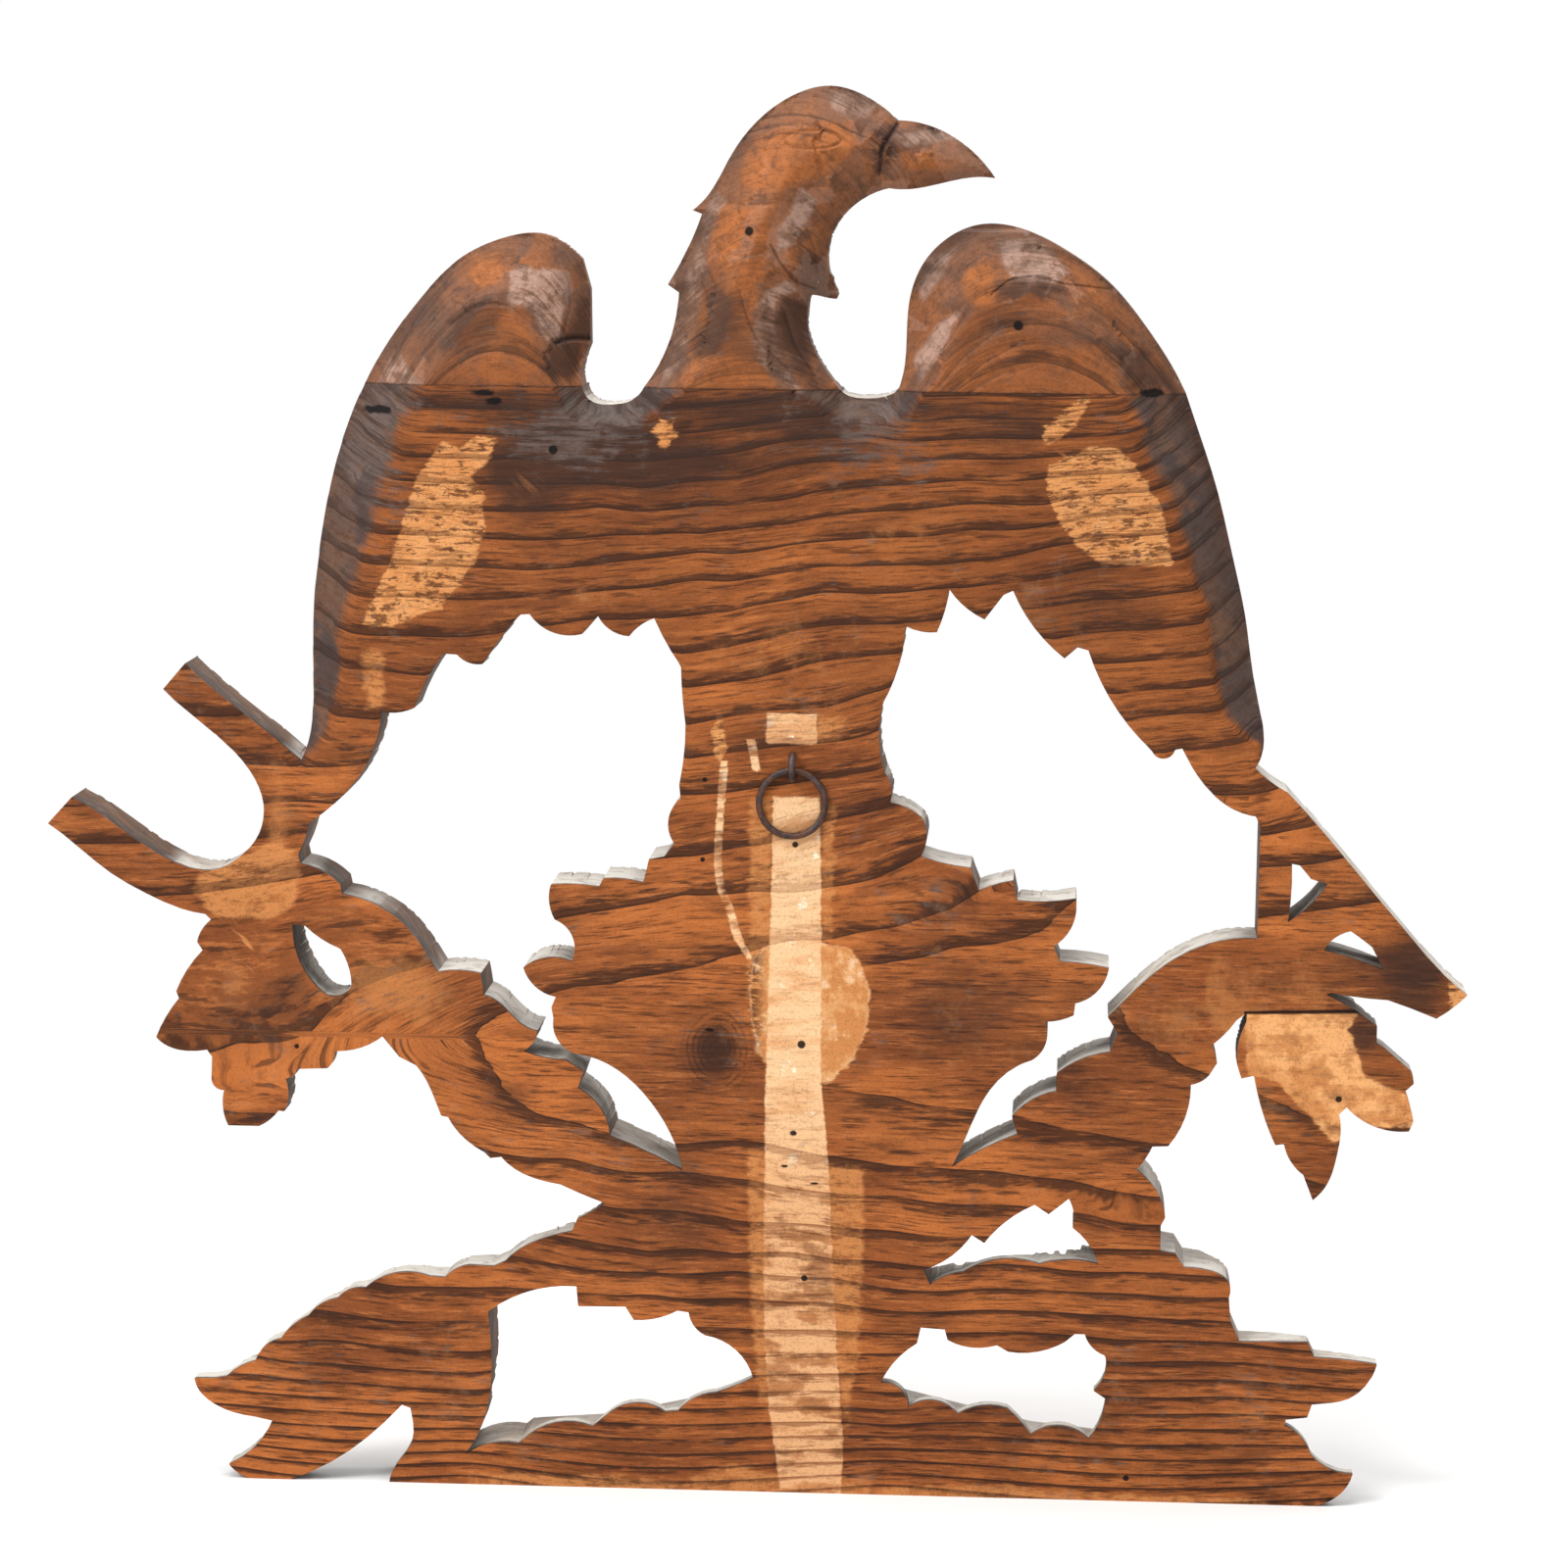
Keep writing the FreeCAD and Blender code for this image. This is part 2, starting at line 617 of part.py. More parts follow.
# Tail feathers fan out from one root; each row is its tip
TAIL_ROOT_SHARES = (0.528, 0.490)
TAIL_TIP_SHARES = [
    (0.352, 0.430), (0.330, 0.372), (0.348, 0.322), (0.392, 0.284), (0.448, 0.238), (0.515, 0.222),
    (0.582, 0.222), (0.646, 0.240), (0.694, 0.296), (0.728, 0.340), (0.760, 0.385), (0.736, 0.440),
]
FEATHER_ROOT_HALF_SHARE = 0.012
FEATHER_TIP_HALF_SHARE = 0.034
TAIL_ROOT_HEIGHT_SHARE = 0.92
TAIL_TIP_HEIGHT_SHARE = 0.80
TAIL_GROOVE_SHARE = 0.72

# Rows of wing feathers, each with scalloped ends, as seen from the back
LEFT_PRIMARIES_SHARES = [
    (0.150, 0.830), [(0.480, 0.830)], [(0.480, 0.540)], [(0.150, 0.480)],
]
LEFT_SECONDARIES_SHARES = [
    (0.150, 0.830), [(0.480, 0.830)], [(0.480, 0.672)],
    [(0.462, 0.650), (0.442, 0.662)], [(0.424, 0.642), (0.406, 0.656)],
    [(0.390, 0.632), (0.371, 0.646)], [(0.354, 0.618), (0.334, 0.632)],
    [(0.318, 0.598), (0.300, 0.611)], [(0.288, 0.572), (0.268, 0.584)],
    [(0.258, 0.544), (0.240, 0.552)], [(0.228, 0.516), (0.205, 0.520)], [(0.150, 0.520)],
]
LEFT_COVERTS_SHARES = [
    (0.150, 0.830), [(0.480, 0.830)], [(0.480, 0.726)],
    [(0.466, 0.706), (0.448, 0.716)], [(0.433, 0.697), (0.415, 0.709)],
    [(0.401, 0.690), (0.382, 0.702)], [(0.368, 0.680), (0.350, 0.691)],
    [(0.337, 0.666), (0.319, 0.676)], [(0.307, 0.648), (0.289, 0.656)],
    [(0.279, 0.624), (0.262, 0.630)], [(0.253, 0.594), (0.236, 0.598)], [(0.150, 0.598)],
]
LEFT_SHOULDER_SHARES = [
    (0.150, 0.830), [(0.470, 0.830)], [(0.470, 0.772)],
    [(0.452, 0.752), (0.432, 0.764)], [(0.414, 0.746), (0.395, 0.757)],
    [(0.377, 0.738), (0.358, 0.749)], [(0.341, 0.726), (0.323, 0.736)],
    [(0.307, 0.710), (0.290, 0.718)], [(0.275, 0.688), (0.259, 0.694)],
    [(0.246, 0.660), (0.230, 0.664)], [(0.150, 0.664)],
]
RIGHT_PRIMARIES_SHARES = [
    (0.880, 0.830), [(0.560, 0.830)], [(0.560, 0.560)], [(0.790, 0.500)], [(0.880, 0.500)],
]
RIGHT_SECONDARIES_SHARES = [
    (0.880, 0.830), [(0.560, 0.830)], [(0.560, 0.682)],
    [(0.578, 0.660), (0.597, 0.672)], [(0.616, 0.652), (0.634, 0.668)],
    [(0.652, 0.646), (0.670, 0.660)], [(0.688, 0.634), (0.705, 0.646)],
    [(0.722, 0.614), (0.739, 0.624)], [(0.753, 0.586), (0.770, 0.596)],
    [(0.783, 0.558), (0.800, 0.566)], [(0.812, 0.530), (0.832, 0.534)], [(0.880, 0.534)],
]
RIGHT_COVERTS_SHARES = [
    (0.880, 0.830), [(0.560, 0.830)], [(0.560, 0.734)],
    [(0.576, 0.714), (0.593, 0.725)], [(0.609, 0.706), (0.627, 0.718)],
    [(0.642, 0.699), (0.660, 0.711)], [(0.675, 0.689), (0.692, 0.700)],
    [(0.706, 0.674), (0.723, 0.683)], [(0.736, 0.655), (0.752, 0.662)],
    [(0.764, 0.630), (0.780, 0.636)], [(0.790, 0.602), (0.806, 0.606)], [(0.880, 0.606)],
]
RIGHT_SHOULDER_SHARES = [
    (0.880, 0.830), [(0.570, 0.830)], [(0.570, 0.780)],
    [(0.588, 0.760), (0.607, 0.772)], [(0.625, 0.754), (0.643, 0.765)],
    [(0.660, 0.745), (0.678, 0.756)], [(0.694, 0.732), (0.711, 0.741)],
    [(0.726, 0.716), (0.742, 0.723)], [(0.756, 0.694), (0.772, 0.700)],
    [(0.785, 0.668), (0.800, 0.671)], [(0.880, 0.671)],
]

# Flat stretches of the front
LEFT_RIBBONS_SHARES = [
    (-0.020, 0.620), [(0.150, 0.620)], [(0.215, 0.540)], [(0.215, 0.400)], [(-0.020, 0.380)],
]
RIGHT_RIBBON_FLAT_SHARES = [(1.020, 0.560), [(0.840, 0.560)], [(0.840, 0.350)], [(1.020, 0.340)]]
GROUND_SHARES = [
    (0.255, -0.010), [(0.255, 0.028)], [(0.400, 0.040)], [(0.520, 0.068)], [(0.500, 0.250)],
    [(0.600, 0.250)], [(0.590, 0.068)], [(0.700, 0.042)], [(0.760, 0.036)], [(0.780, 0.120)],
    [(0.835, 0.120)], [(0.870, 0.040)], [(0.905, -0.010)],
]


def tail_feather(name, tip):
    """One tail feather: a low roof widening from the root to its tip."""
    root = TAIL_ROOT_SHARES
    halves = [FEATHER_ROOT_HALF_SHARE, FEATHER_TIP_HALF_SHARE]
    crowns = [TAIL_ROOT_HEIGHT_SHARE, TAIL_TIP_HEIGHT_SHARE]
    sides = [TAIL_ROOT_HEIGHT_SHARE * TAIL_GROOVE_SHARE, TAIL_TIP_HEIGHT_SHARE * TAIL_GROOVE_SHARE]
    return ridge(name, [root, tip], halves, crowns, sides)


def relief():
    """Everything the carver left standing on the front, before it is trimmed to the outline."""
    rim = doc.addObject("Part::Box", "rim")
    rim.setExpression("Length", "Sizes.eagle_width + 2 * Sizes.overrun")
    rim.setExpression("Width", "Sizes.rim_thickness")
    rim.setExpression("Height", "Sizes.eagle_height + 2 * Sizes.overrun")
    rim.setExpression("Placement.Base.x", "-Sizes.eagle_width / 2 - Sizes.overrun")
    rim.setExpression("Placement.Base.y", "Sizes.back_face - Sizes.rim_thickness")
    rim.setExpression("Placement.Base.z", "-Sizes.overrun")
    pieces = [rim]
    for name, thickness, table in (
        ("left_primaries", "Sizes.primary_thickness", LEFT_PRIMARIES_SHARES),
        ("left_secondaries", "Sizes.secondary_thickness", LEFT_SECONDARIES_SHARES),
        ("left_coverts", "Sizes.covert_thickness", LEFT_COVERTS_SHARES),
        ("left_shoulder", "Sizes.shoulder_thickness", LEFT_SHOULDER_SHARES),
        ("right_primaries", "Sizes.primary_thickness", RIGHT_PRIMARIES_SHARES),
        ("right_secondaries", "Sizes.secondary_thickness", RIGHT_SECONDARIES_SHARES),
        ("right_coverts", "Sizes.covert_thickness", RIGHT_COVERTS_SHARES),
        ("right_shoulder", "Sizes.shoulder_thickness", RIGHT_SHOULDER_SHARES),
        ("left_ribbons", "Sizes.ribbon_thickness", LEFT_RIBBONS_SHARES),
        ("right_ribbon", "Sizes.ribbon_thickness", RIGHT_RIBBON_FLAT_SHARES),
        ("ground", "Sizes.ground_thickness", GROUND_SHARES),
    ):
        pieces.append(prism(name, profile(name + "_profile", outline_of(table)), thickness))
    for name, rows in RIDGE_SHARES.items():
        pieces.append(ridge(name, *rows))
    for number, tip in enumerate(TAIL_TIP_SHARES, start=1):
        pieces.append(tail_feather("tail_feather_%d" % number, tip))
    return joined("relief", "fuse", pieces)


def main_board_profile():
    """The whole plank's outline with its windows."""
    runs = WING_AND_RIBBONS_SHARES + LEFT_LEAVES_SHARES + LEFT_GROUND_SHARES + RIGHT_GROUND_SHARES
    runs = runs + [[LEAF_JOINT_LEFT_SHARES], [LEAF_JOINT_RIGHT_SHARES]] + RIGHT_RIBBON_SHARES
    for notch in (RIGHT_NOTCH_SHARES, LEFT_NOTCH_SHARES):
        runs = runs + [[notch[0]]] + notch[1:]
    windows = [
        LEFT_WINDOW_SHARES, RIGHT_WINDOW_SHARES, LEFT_EYELET_SHARES, RIGHT_EYELET_UPPER_SHARES,
        RIGHT_EYELET_LOWER_SHARES, LOWER_LEFT_WINDOW_SHARES, LOWER_RIGHT_WINDOW_SHARES,
        UPPER_RIGHT_WINDOW_SHARES,
    ]
    return profile(
        "main_board_profile", outline_wire(JOINT_LEFT_SHARES, runs), [outline_of(table) for table in windows]
    )


# Bevel on the back along the outer edge of each wing: edge point, inner limit, depth share

LEFT_BEVEL_SHARES = [
    ((0.224, 0.797), (0.265, 0.797), 0.155), ((0.203, 0.735), (0.254, 0.735), 0.21),
    ((0.195, 0.695), (0.246, 0.695), 0.22), ((0.188, 0.645), (0.232, 0.645), 0.20),
    ((0.1865, 0.600), (0.216, 0.600), 0.16), ((0.185, 0.560), (0.204, 0.560), 0.12),
    ((0.181, 0.522), (0.189, 0.530), 0.05),
]
RIGHT_BEVEL_SHARES = [
    ((0.794, 0.797), (0.740, 0.797), 0.155), ((0.815, 0.735), (0.768, 0.735), 0.21),
    ((0.826, 0.695), (0.784, 0.695), 0.22), ((0.838, 0.645), (0.803, 0.645), 0.20),
    ((0.845, 0.600), (0.814, 0.600), 0.17), ((0.850, 0.560), (0.825, 0.560), 0.12),
    ((0.852, 0.530), (0.842, 0.538), 0.05),
]
BEVEL_OVERRUN_SHARE = 0.4


def bevel(name, rows):
    """The wood planed off the back along an outer edge."""
    sections = []
    for edge, inner, depth in rows:
        reach = place(edge) - place(inner)
        drop = depth * plank_thickness
        outer = place(edge) + reach * BEVEL_OVERRUN_SHARE
        behind = Vector(0, drop * BEVEL_OVERRUN_SHARE, 0)
        deepest = Vector(0, -drop * (1 + BEVEL_OVERRUN_SHARE), 0)
        planed_to = place(inner) - reach * BEVEL_OVERRUN_SHARE + behind
        sections.append([outer + deepest, outer + behind, planed_to])
    return whittled(name, sections)


# Forms of the pieces glued on

LEFT_WING_TOP_FORM_SHARES = (
    [(0.299, 0.770), (0.301, 0.805), (0.318, 0.845), (0.331, 0.875), (0.340, 0.905)],
    [0.084, 0.080, 0.068, 0.052, 0.030],
    [0.93, 0.92, 0.88, 0.82, 0.70],
    [0.70, 0.62, 0.56, 0.52, 0.48],
    [(0.0, 0.18), (0.0, 0.22), (0.0, 0.26), (0.03, 0.28), (0.10, 0.30)],
)
RIGHT_WING_TOP_FORM_SHARES = (
    [(0.697, 0.770), (0.694, 0.805), (0.680, 0.845), (0.667, 0.878), (0.656, 0.915)],
    [0.107, 0.102, 0.088, 0.068, 0.040],
    [0.93, 0.92, 0.88, 0.82, 0.70],
    [0.70, 0.62, 0.56, 0.52, 0.48],
    [(0.0, 0.18), (0.0, 0.22), (0.0, 0.26), (0.03, 0.28), (0.10, 0.30)],
)
NECK_FORM_SHARES = (
    [(0.4875, 0.770), (0.486, 0.835), (0.496, 0.885), (0.522, 0.935), (0.548, 0.975), (0.560, 1.010)],
    [0.078, 0.056, 0.056, 0.066, 0.060, 0.030],
    [0.88, 0.84, 0.82, 0.84, 0.78, 0.60],
    [0.62, 0.58, 0.56, 0.56, 0.52, 0.45],
    [(0.0, 0.20), (0.0, 0.24), (0.0, 0.26), (0.0, 0.28), (0.04, 0.30), (0.12, 0.32)],
)
BEAK_FORM_SHARES = (
    [(0.530, 0.950), (0.585, 0.952), (0.625, 0.950), (0.668, 0.937)],
    [0.036, 0.030, 0.020, 0.008],
    [0.72, 0.70, 0.62, 0.52],
    [0.60, 0.56, 0.52, 0.48],
    [(0.10, 0.24), (0.12, 0.26), (0.20, 0.30), (0.34, 0.38)],
)
LEAF_FORM_SHARES = (
    [(0.886, 0.375), (0.888, 0.330), (0.892, 0.275), (0.897, 0.215)],
    [0.052, 0.050, 0.036, 0.016],
    [0.80, 0.74, 0.62, 0.44],
    [0.50, 0.46, 0.42, 0.34],
)
LEAF_LOBE_FORM_SHARES = (
    [(0.890, 0.325), (0.930, 0.305), (0.972, 0.282)],
    [0.034, 0.030, 0.020],
    [0.70, 0.60, 0.46],
    [0.46, 0.42, 0.36],
)

# Dowels: where each stands on the joint
DOWEL_SHARES = {
    "left_wing": [0.275, 0.340],
    "neck": [0.462, 0.510],
    "right_wing": [0.640, 0.730],
}

# Where the staple is driven in, as shares across and up
STAPLE_SHARES = (0.5265, 0.5245)


def cylinder(name, radius, height, direction, x, y, z):
    """A round bar whose sizes and start follow the sheet."""
    bar = doc.addObject("Part::Cylinder", name)
    bar.setExpression("Radius", radius)
    bar.setExpression("Height", height)
    bar.Placement = FreeCAD.Placement(Vector(), FreeCAD.Rotation(Vector(0, 0, 1), direction))
    bar.setExpression("Placement.Base.x", x)
    bar.setExpression("Placement.Base.y", y)
    bar.setExpression("Placement.Base.z", z)
    return bar


def half_share(share):
    """The sheet formula for a place across the eagle."""
    return "(1 / 2 - %s) * Sizes.eagle_width" % share


UP = Vector(0, 0, 1)
INTO_THE_WOOD = Vector(0, -1, 0)
STAPLE_X = half_share(STAPLE_SHARES[0])
STAPLE_Z = "%s * Sizes.eagle_height" % STAPLE_SHARES[1]
LEG_OFFSET = " Sizes.staple_leg_spacing / 2"
RING_DROP = "(Sizes.staple_leg_spacing - Sizes.staple_wire - Sizes.ring_wire) / 2"
RING_REST_Z = STAPLE_Z + " - " + RING_DROP + " + Sizes.ring_clearance"


def dowels_and_bores():
    """The dowels, and the bores drilled for them on both sides of the joint."""
    pins = {}
    bores = []
    y = "Sizes.back_face - Sizes.dowel_set_back"
    for place_name, places in DOWEL_SHARES.items():
        for number, share in enumerate(places, start=1):
            x = half_share(share)
            joint = "%s * Sizes.eagle_height" % JOINT_SHARE
            pin = cylinder(
                "dowel_%s_%d" % (place_name, number), "Sizes.dowel_diameter / 2", "Sizes.dowel_length",
                UP, x, y, joint + " - Sizes.dowel_length / 2",
            )
            bore = cylinder(
                "bore_%s_%d" % (place_name, number), "Sizes.dowel_diameter / 2",
                "Sizes.dowel_length + 2 * Sizes.dowel_end_room",
                UP, x, y, joint + " - Sizes.dowel_length / 2 - Sizes.dowel_end_room",
            )
            pins[pin.Name] = pin
            bores.append(bore)
    return pins, bores


def staple_legs(name, length):
    """The staple's two straight legs, from inside the eye's straight part into the wood."""
    legs = []
    for number, sign in enumerate("+-", start=1):
        legs.append(cylinder(
            "%s_%d" % (name, number), "Sizes.staple_wire / 2", length, INTO_THE_WOOD,
            STAPLE_X, "Sizes.back_face + Sizes.staple_straight", STAPLE_Z + " " + sign + LEG_OFFSET,
        ))
    return legs


def wire_bend(name, radius, wire, axis, angle, x, y, z):
    """A round wire bent to a circle or part of one."""
    bend = doc.addObject("Part::Torus", name)
    bend.setExpression("Radius1", radius)
    bend.setExpression("Radius2", wire)
    bend.Angle3 = angle
    bend.Placement = FreeCAD.Placement(Vector(), FreeCAD.Rotation(axis, 90))
    bend.setExpression("Placement.Base.x", x)
    bend.setExpression("Placement.Base.y", y)
    bend.setExpression("Placement.Base.z", z)
    return bend


def upper_piece(name, table, forms, bores):
    """A piece glued on top: its outline, whittled to its forms and bored for its dowels."""
    blank = prism(name + "_blank", profile(name + "_profile", outline_of(table)), "Sizes.plank_thickness")
    shapes = [ridge("%s_form_%d" % (name, number), *form) for number, form in enumerate(forms, start=1)]
    shape = shapes[0]
    if len(shapes) > 1:
        shape = joined(name + "_forms", "fuse", shapes)
    carved = joined(name + "_carved", "common", [blank, shape])
    if bores:
        return cut(name, carved, joined(name + "_bores", "fuse", bores))
    carved.Label = name
    return carved


dowels, bores = dowels_and_bores()
nodes = {}

plank = prism("plank", main_board_profile(), "Sizes.plank_thickness")
carved_plank = joined("carved_plank", "common", [plank, relief()])
taken_out = staple_legs("staple_bore", "Sizes.staple_straight + Sizes.staple_drive + Sizes.dowel_end_room")
taken_out += bores
taken_out += [bevel("left_bevel", LEFT_BEVEL_SHARES), bevel("right_bevel", RIGHT_BEVEL_SHARES)]
nodes["main_board"] = cut("main_board", carved_plank, joined("board_waste", "fuse", taken_out))

nodes["left_wing_top"] = upper_piece(
    "left_wing_top", LEFT_WING_TOP_SHARES, [LEFT_WING_TOP_FORM_SHARES], bores[:2],
)
nodes["head_and_neck"] = upper_piece(
    "head_and_neck", HEAD_SHARES, [NECK_FORM_SHARES, BEAK_FORM_SHARES], bores[2:4],
)
nodes["right_wing_top"] = upper_piece(
    "right_wing_top", RIGHT_WING_TOP_SHARES, [RIGHT_WING_TOP_FORM_SHARES], bores[4:],
)
nodes["leaf_cluster"] = upper_piece(
    "leaf_cluster", LEAF_SHARES, [LEAF_FORM_SHARES, LEAF_LOBE_FORM_SHARES], [],
)
nodes.update(dowels)

crown = wire_bend(
    "staple_crown", "Sizes.staple_leg_spacing / 2", "Sizes.staple_wire / 2", Vector(0, 1, 0), 180,
    STAPLE_X, "Sizes.back_face + Sizes.staple_straight", STAPLE_Z,
)
legs = staple_legs("staple_leg", "Sizes.staple_straight + Sizes.staple_drive")
nodes["ring_staple"] = joined("ring_staple", "fuse", [crown] + legs)
nodes["hanging_ring"] = wire_bend(
    "hanging_ring", "(Sizes.ring_diameter - Sizes.ring_wire) / 2", "Sizes.ring_wire / 2", Vector(1, 0, 0), 360,
    STAPLE_X, "Sizes.back_face + Sizes.ring_wire / 2 + Sizes.ring_clearance",
    RING_REST_Z + " - (Sizes.ring_diameter - Sizes.ring_wire) / 2",
)

doc.recompute()

for item in doc.Objects:
    if "Invalid" in item.State or "Error" in item.State:
        raise RuntimeError("%s did not recompute" % item.Label)

os.makedirs("parts", exist_ok=True)
for name, item in nodes.items():
    shape = item.Shape
    if shape.isNull() or not shape.isValid() or len(shape.Solids) != 1:
        raise RuntimeError("%s is not one valid solid" % name)
    item.Label = name
    shape.exportStep("parts/%s.step" % name)
    print(name, round(shape.Volume), len(shape.Faces))
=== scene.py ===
"""Carved wooden eagle: the sawn and carved wood, its grain and its iron ring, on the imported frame.

Lengths are metres. Places on the plank are shares: across from the left tip, as the back
faces you, and up from the base, mostly in thousandths. Depths are measured forward from the flat back.
"""
import math

import bmesh
import bpy
import numpy as np
from bpy.props import FloatProperty, FloatVectorProperty, PointerProperty
from mathutils import Matrix, Vector
from mathutils.bvhtree import BVHTree
from mathutils.geometry import delaunay_2d_cdt
from mathutils.kdtree import KDTree


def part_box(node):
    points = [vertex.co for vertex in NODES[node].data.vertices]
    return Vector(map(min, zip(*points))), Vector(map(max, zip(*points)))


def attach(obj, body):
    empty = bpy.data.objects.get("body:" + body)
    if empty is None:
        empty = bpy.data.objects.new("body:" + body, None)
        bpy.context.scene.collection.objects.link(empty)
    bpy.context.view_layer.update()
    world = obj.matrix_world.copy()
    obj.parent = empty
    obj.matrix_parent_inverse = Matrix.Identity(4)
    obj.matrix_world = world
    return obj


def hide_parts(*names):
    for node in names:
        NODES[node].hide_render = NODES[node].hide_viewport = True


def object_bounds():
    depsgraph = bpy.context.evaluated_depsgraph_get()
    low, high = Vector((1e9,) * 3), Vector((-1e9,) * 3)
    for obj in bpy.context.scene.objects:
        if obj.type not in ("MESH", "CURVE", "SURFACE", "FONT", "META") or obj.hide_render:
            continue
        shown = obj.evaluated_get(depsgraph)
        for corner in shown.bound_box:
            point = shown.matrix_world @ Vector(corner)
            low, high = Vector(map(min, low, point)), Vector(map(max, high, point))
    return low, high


bl_info = {
    "name": "Carved wooden eagle",
    "version": (1, 0, 0),
    "blender": (4, 5, 0),
    "location": "3D View > Sidebar > Eagle",
    "description": "Builds the carved wood, its grain and the iron ring of a wooden eagle",
    "category": "Object",
}

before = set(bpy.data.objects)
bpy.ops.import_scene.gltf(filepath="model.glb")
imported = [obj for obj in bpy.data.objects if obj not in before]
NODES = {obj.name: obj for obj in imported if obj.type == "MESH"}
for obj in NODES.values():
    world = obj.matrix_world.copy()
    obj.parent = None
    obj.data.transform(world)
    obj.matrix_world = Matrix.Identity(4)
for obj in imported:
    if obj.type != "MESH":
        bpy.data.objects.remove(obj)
CAD_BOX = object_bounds()
BOARD_LOW, BOARD_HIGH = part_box("main_board")
WIDTH = BOARD_HIGH.x - BOARD_LOW.x
HEIGHT = CAD_BOX[1].z
BACK = BOARD_HIGH.y
JOINT = BOARD_HIGH.z / HEIGHT


def hue(red, green, blue):
    """A linear colour from its eight-bit screen values."""
    return tuple(
        ((c / 255 + 0.055) / 1.055) ** 2.4 if c > 10 else c / 255 / 12.92
        for c in (red, green, blue)
    ) + (1.0,)


def colour_property(name, description, *screen):
    """A colour setting whose default is given in screen values."""
    return FloatVectorProperty(
        name=name, description=description, default=hue(*screen), subtype="COLOR", size=4, min=0, max=1
    )


def length_property(name, description, default):
    """A length setting in metres."""
    return FloatProperty(
        name=name, description=description, default=default, unit="LENGTH", min=0, precision=5,
    )


def share_property(name, description, default):
    """A setting that is a share of one."""
    return FloatProperty(
        name=name, description=description, default=default, subtype="FACTOR", min=0, max=1,
    )


# Settings

class EAGLE_PG_grain(bpy.types.PropertyGroup):
    """Colours and strengths of the old wood"""

    early_light: colour_property("Earlywood light", "Lighter earlywood of the flat back", 184, 106, 53)
    early_dark: colour_property("Earlywood dark", "Darker earlywood of the flat back", 134, 74, 38)
    pale_streak: colour_property("Pale streak", "Fibres paler than the rest", 206, 126, 68)
    late: colour_property("Latewood", "The dark lines of the grain", 48, 29, 21)
    stain: colour_property("Stain", "Brown stain in streaks", 92, 52, 29)
    patina_brown: colour_property("Carved brown", "Carved wood where it has kept its brown", 150, 92, 54)
    patina_grey: colour_property("Carved grey", "Carved wood that has weathered grey", 110, 88, 78)
    # Partly painted shade: this dark also lies on the facets that are in shade
    patina_dark_and_shade: colour_property("Carved dark", "Old dirt in the carving's low places", 58, 43, 37)
    # Painted highlight: the pink sheen of facets that catch the light, partly a dusted coat
    pale_facet_highlight: colour_property("Pale facet", "Knife facets with a dusty pink sheen", 182, 152, 137)
    warm_facet: colour_property("Warm facet", "Knife facets rubbed back to orange wood", 178, 105, 54)
    front_dark: colour_property("Front patina", "The dark old finish of the carved front", 92, 60, 40)
    front_worn: colour_property("Front worn", "High points of the front worn back to wood", 150, 92, 54)
    wall_dark: colour_property("Sawn wall", "The sawn edges of the plank", 70, 56, 48)
    # Partly painted top light: the pale of the sawn walls that face upward
    wall_dust_and_top_light: colour_property("Dusty wall", "Sawn edges that face upward, pale with dust", 214, 208, 198)
    bare: colour_property("Bare wood", "Fresh wood where the surface was torn away", 218, 152, 94)
    strip: colour_property("Strip", "Clean pale wood up the middle of the back", 244, 198, 150)
    glue: colour_property("Glue", "Old glue beside the clean wood", 232, 174, 116)
    worn: colour_property("Rubbed wood", "Places rubbed paler than the rest", 208, 138, 80)
    relief: length_property("Grain relief", "How far the grain lines stand out", 0.0005)


class EAGLE_PG_carving(bpy.types.PropertyGroup):
    """Mesh steps and knife work"""

    edge_step: length_property("Edge step", "Spacing of the points along the outlines", 0.0014)
    back_step: length_property("Back step", "Spacing of the points over the flat back", 0.0030)
    front_step: length_property("Front step", "Spacing of the points over the carved front", 0.0026)
    top_step: length_property("Upper step", "Spacing of the points on the glued pieces", 0.0017)
    facet: length_property("Facet", "Size of the knife's facets", 0.014)
    tilt: FloatProperty(
        name="Facet tilt", description="How unevenly the facets lie", default=0.07, min=0, max=0.3,
    )
    facet_share: share_property("Facet sharpness", "How flat the facets are", 0.85)


class EAGLE_PG_iron(bpy.types.PropertyGroup):
    """Colours of the iron"""

    dark: colour_property("Iron", "Dull iron", 50, 42, 42)
    rust: colour_property("Rust", "Brown rust", 96, 62, 46)
    bright: colour_property("Rubbed iron", "Iron rubbed a little brighter", 86, 76, 78)


class EAGLE_PG_stage(bpy.types.PropertyGroup):
    """Floor, light and camera"""

    floor: colour_property("Floor", "The pale floor", 247, 247, 246)
    sky: FloatProperty(
        name="Sky", description="Strength of the even light from all around", default=0.44, min=0,
    )
    key: FloatProperty(
        name="Key light", description="Power of the large lamp above and behind the camera", default=44.0,
        unit="POWER", min=0,
    )
    top: FloatProperty(
        name="Top light", description="Power of the lamp overhead", default=30.0, unit="POWER", min=0,
    )
    far_side: FloatProperty(
        name="Far light", description="Power of the lamp on the carved side", default=22.0, unit="POWER",
        min=0,
    )


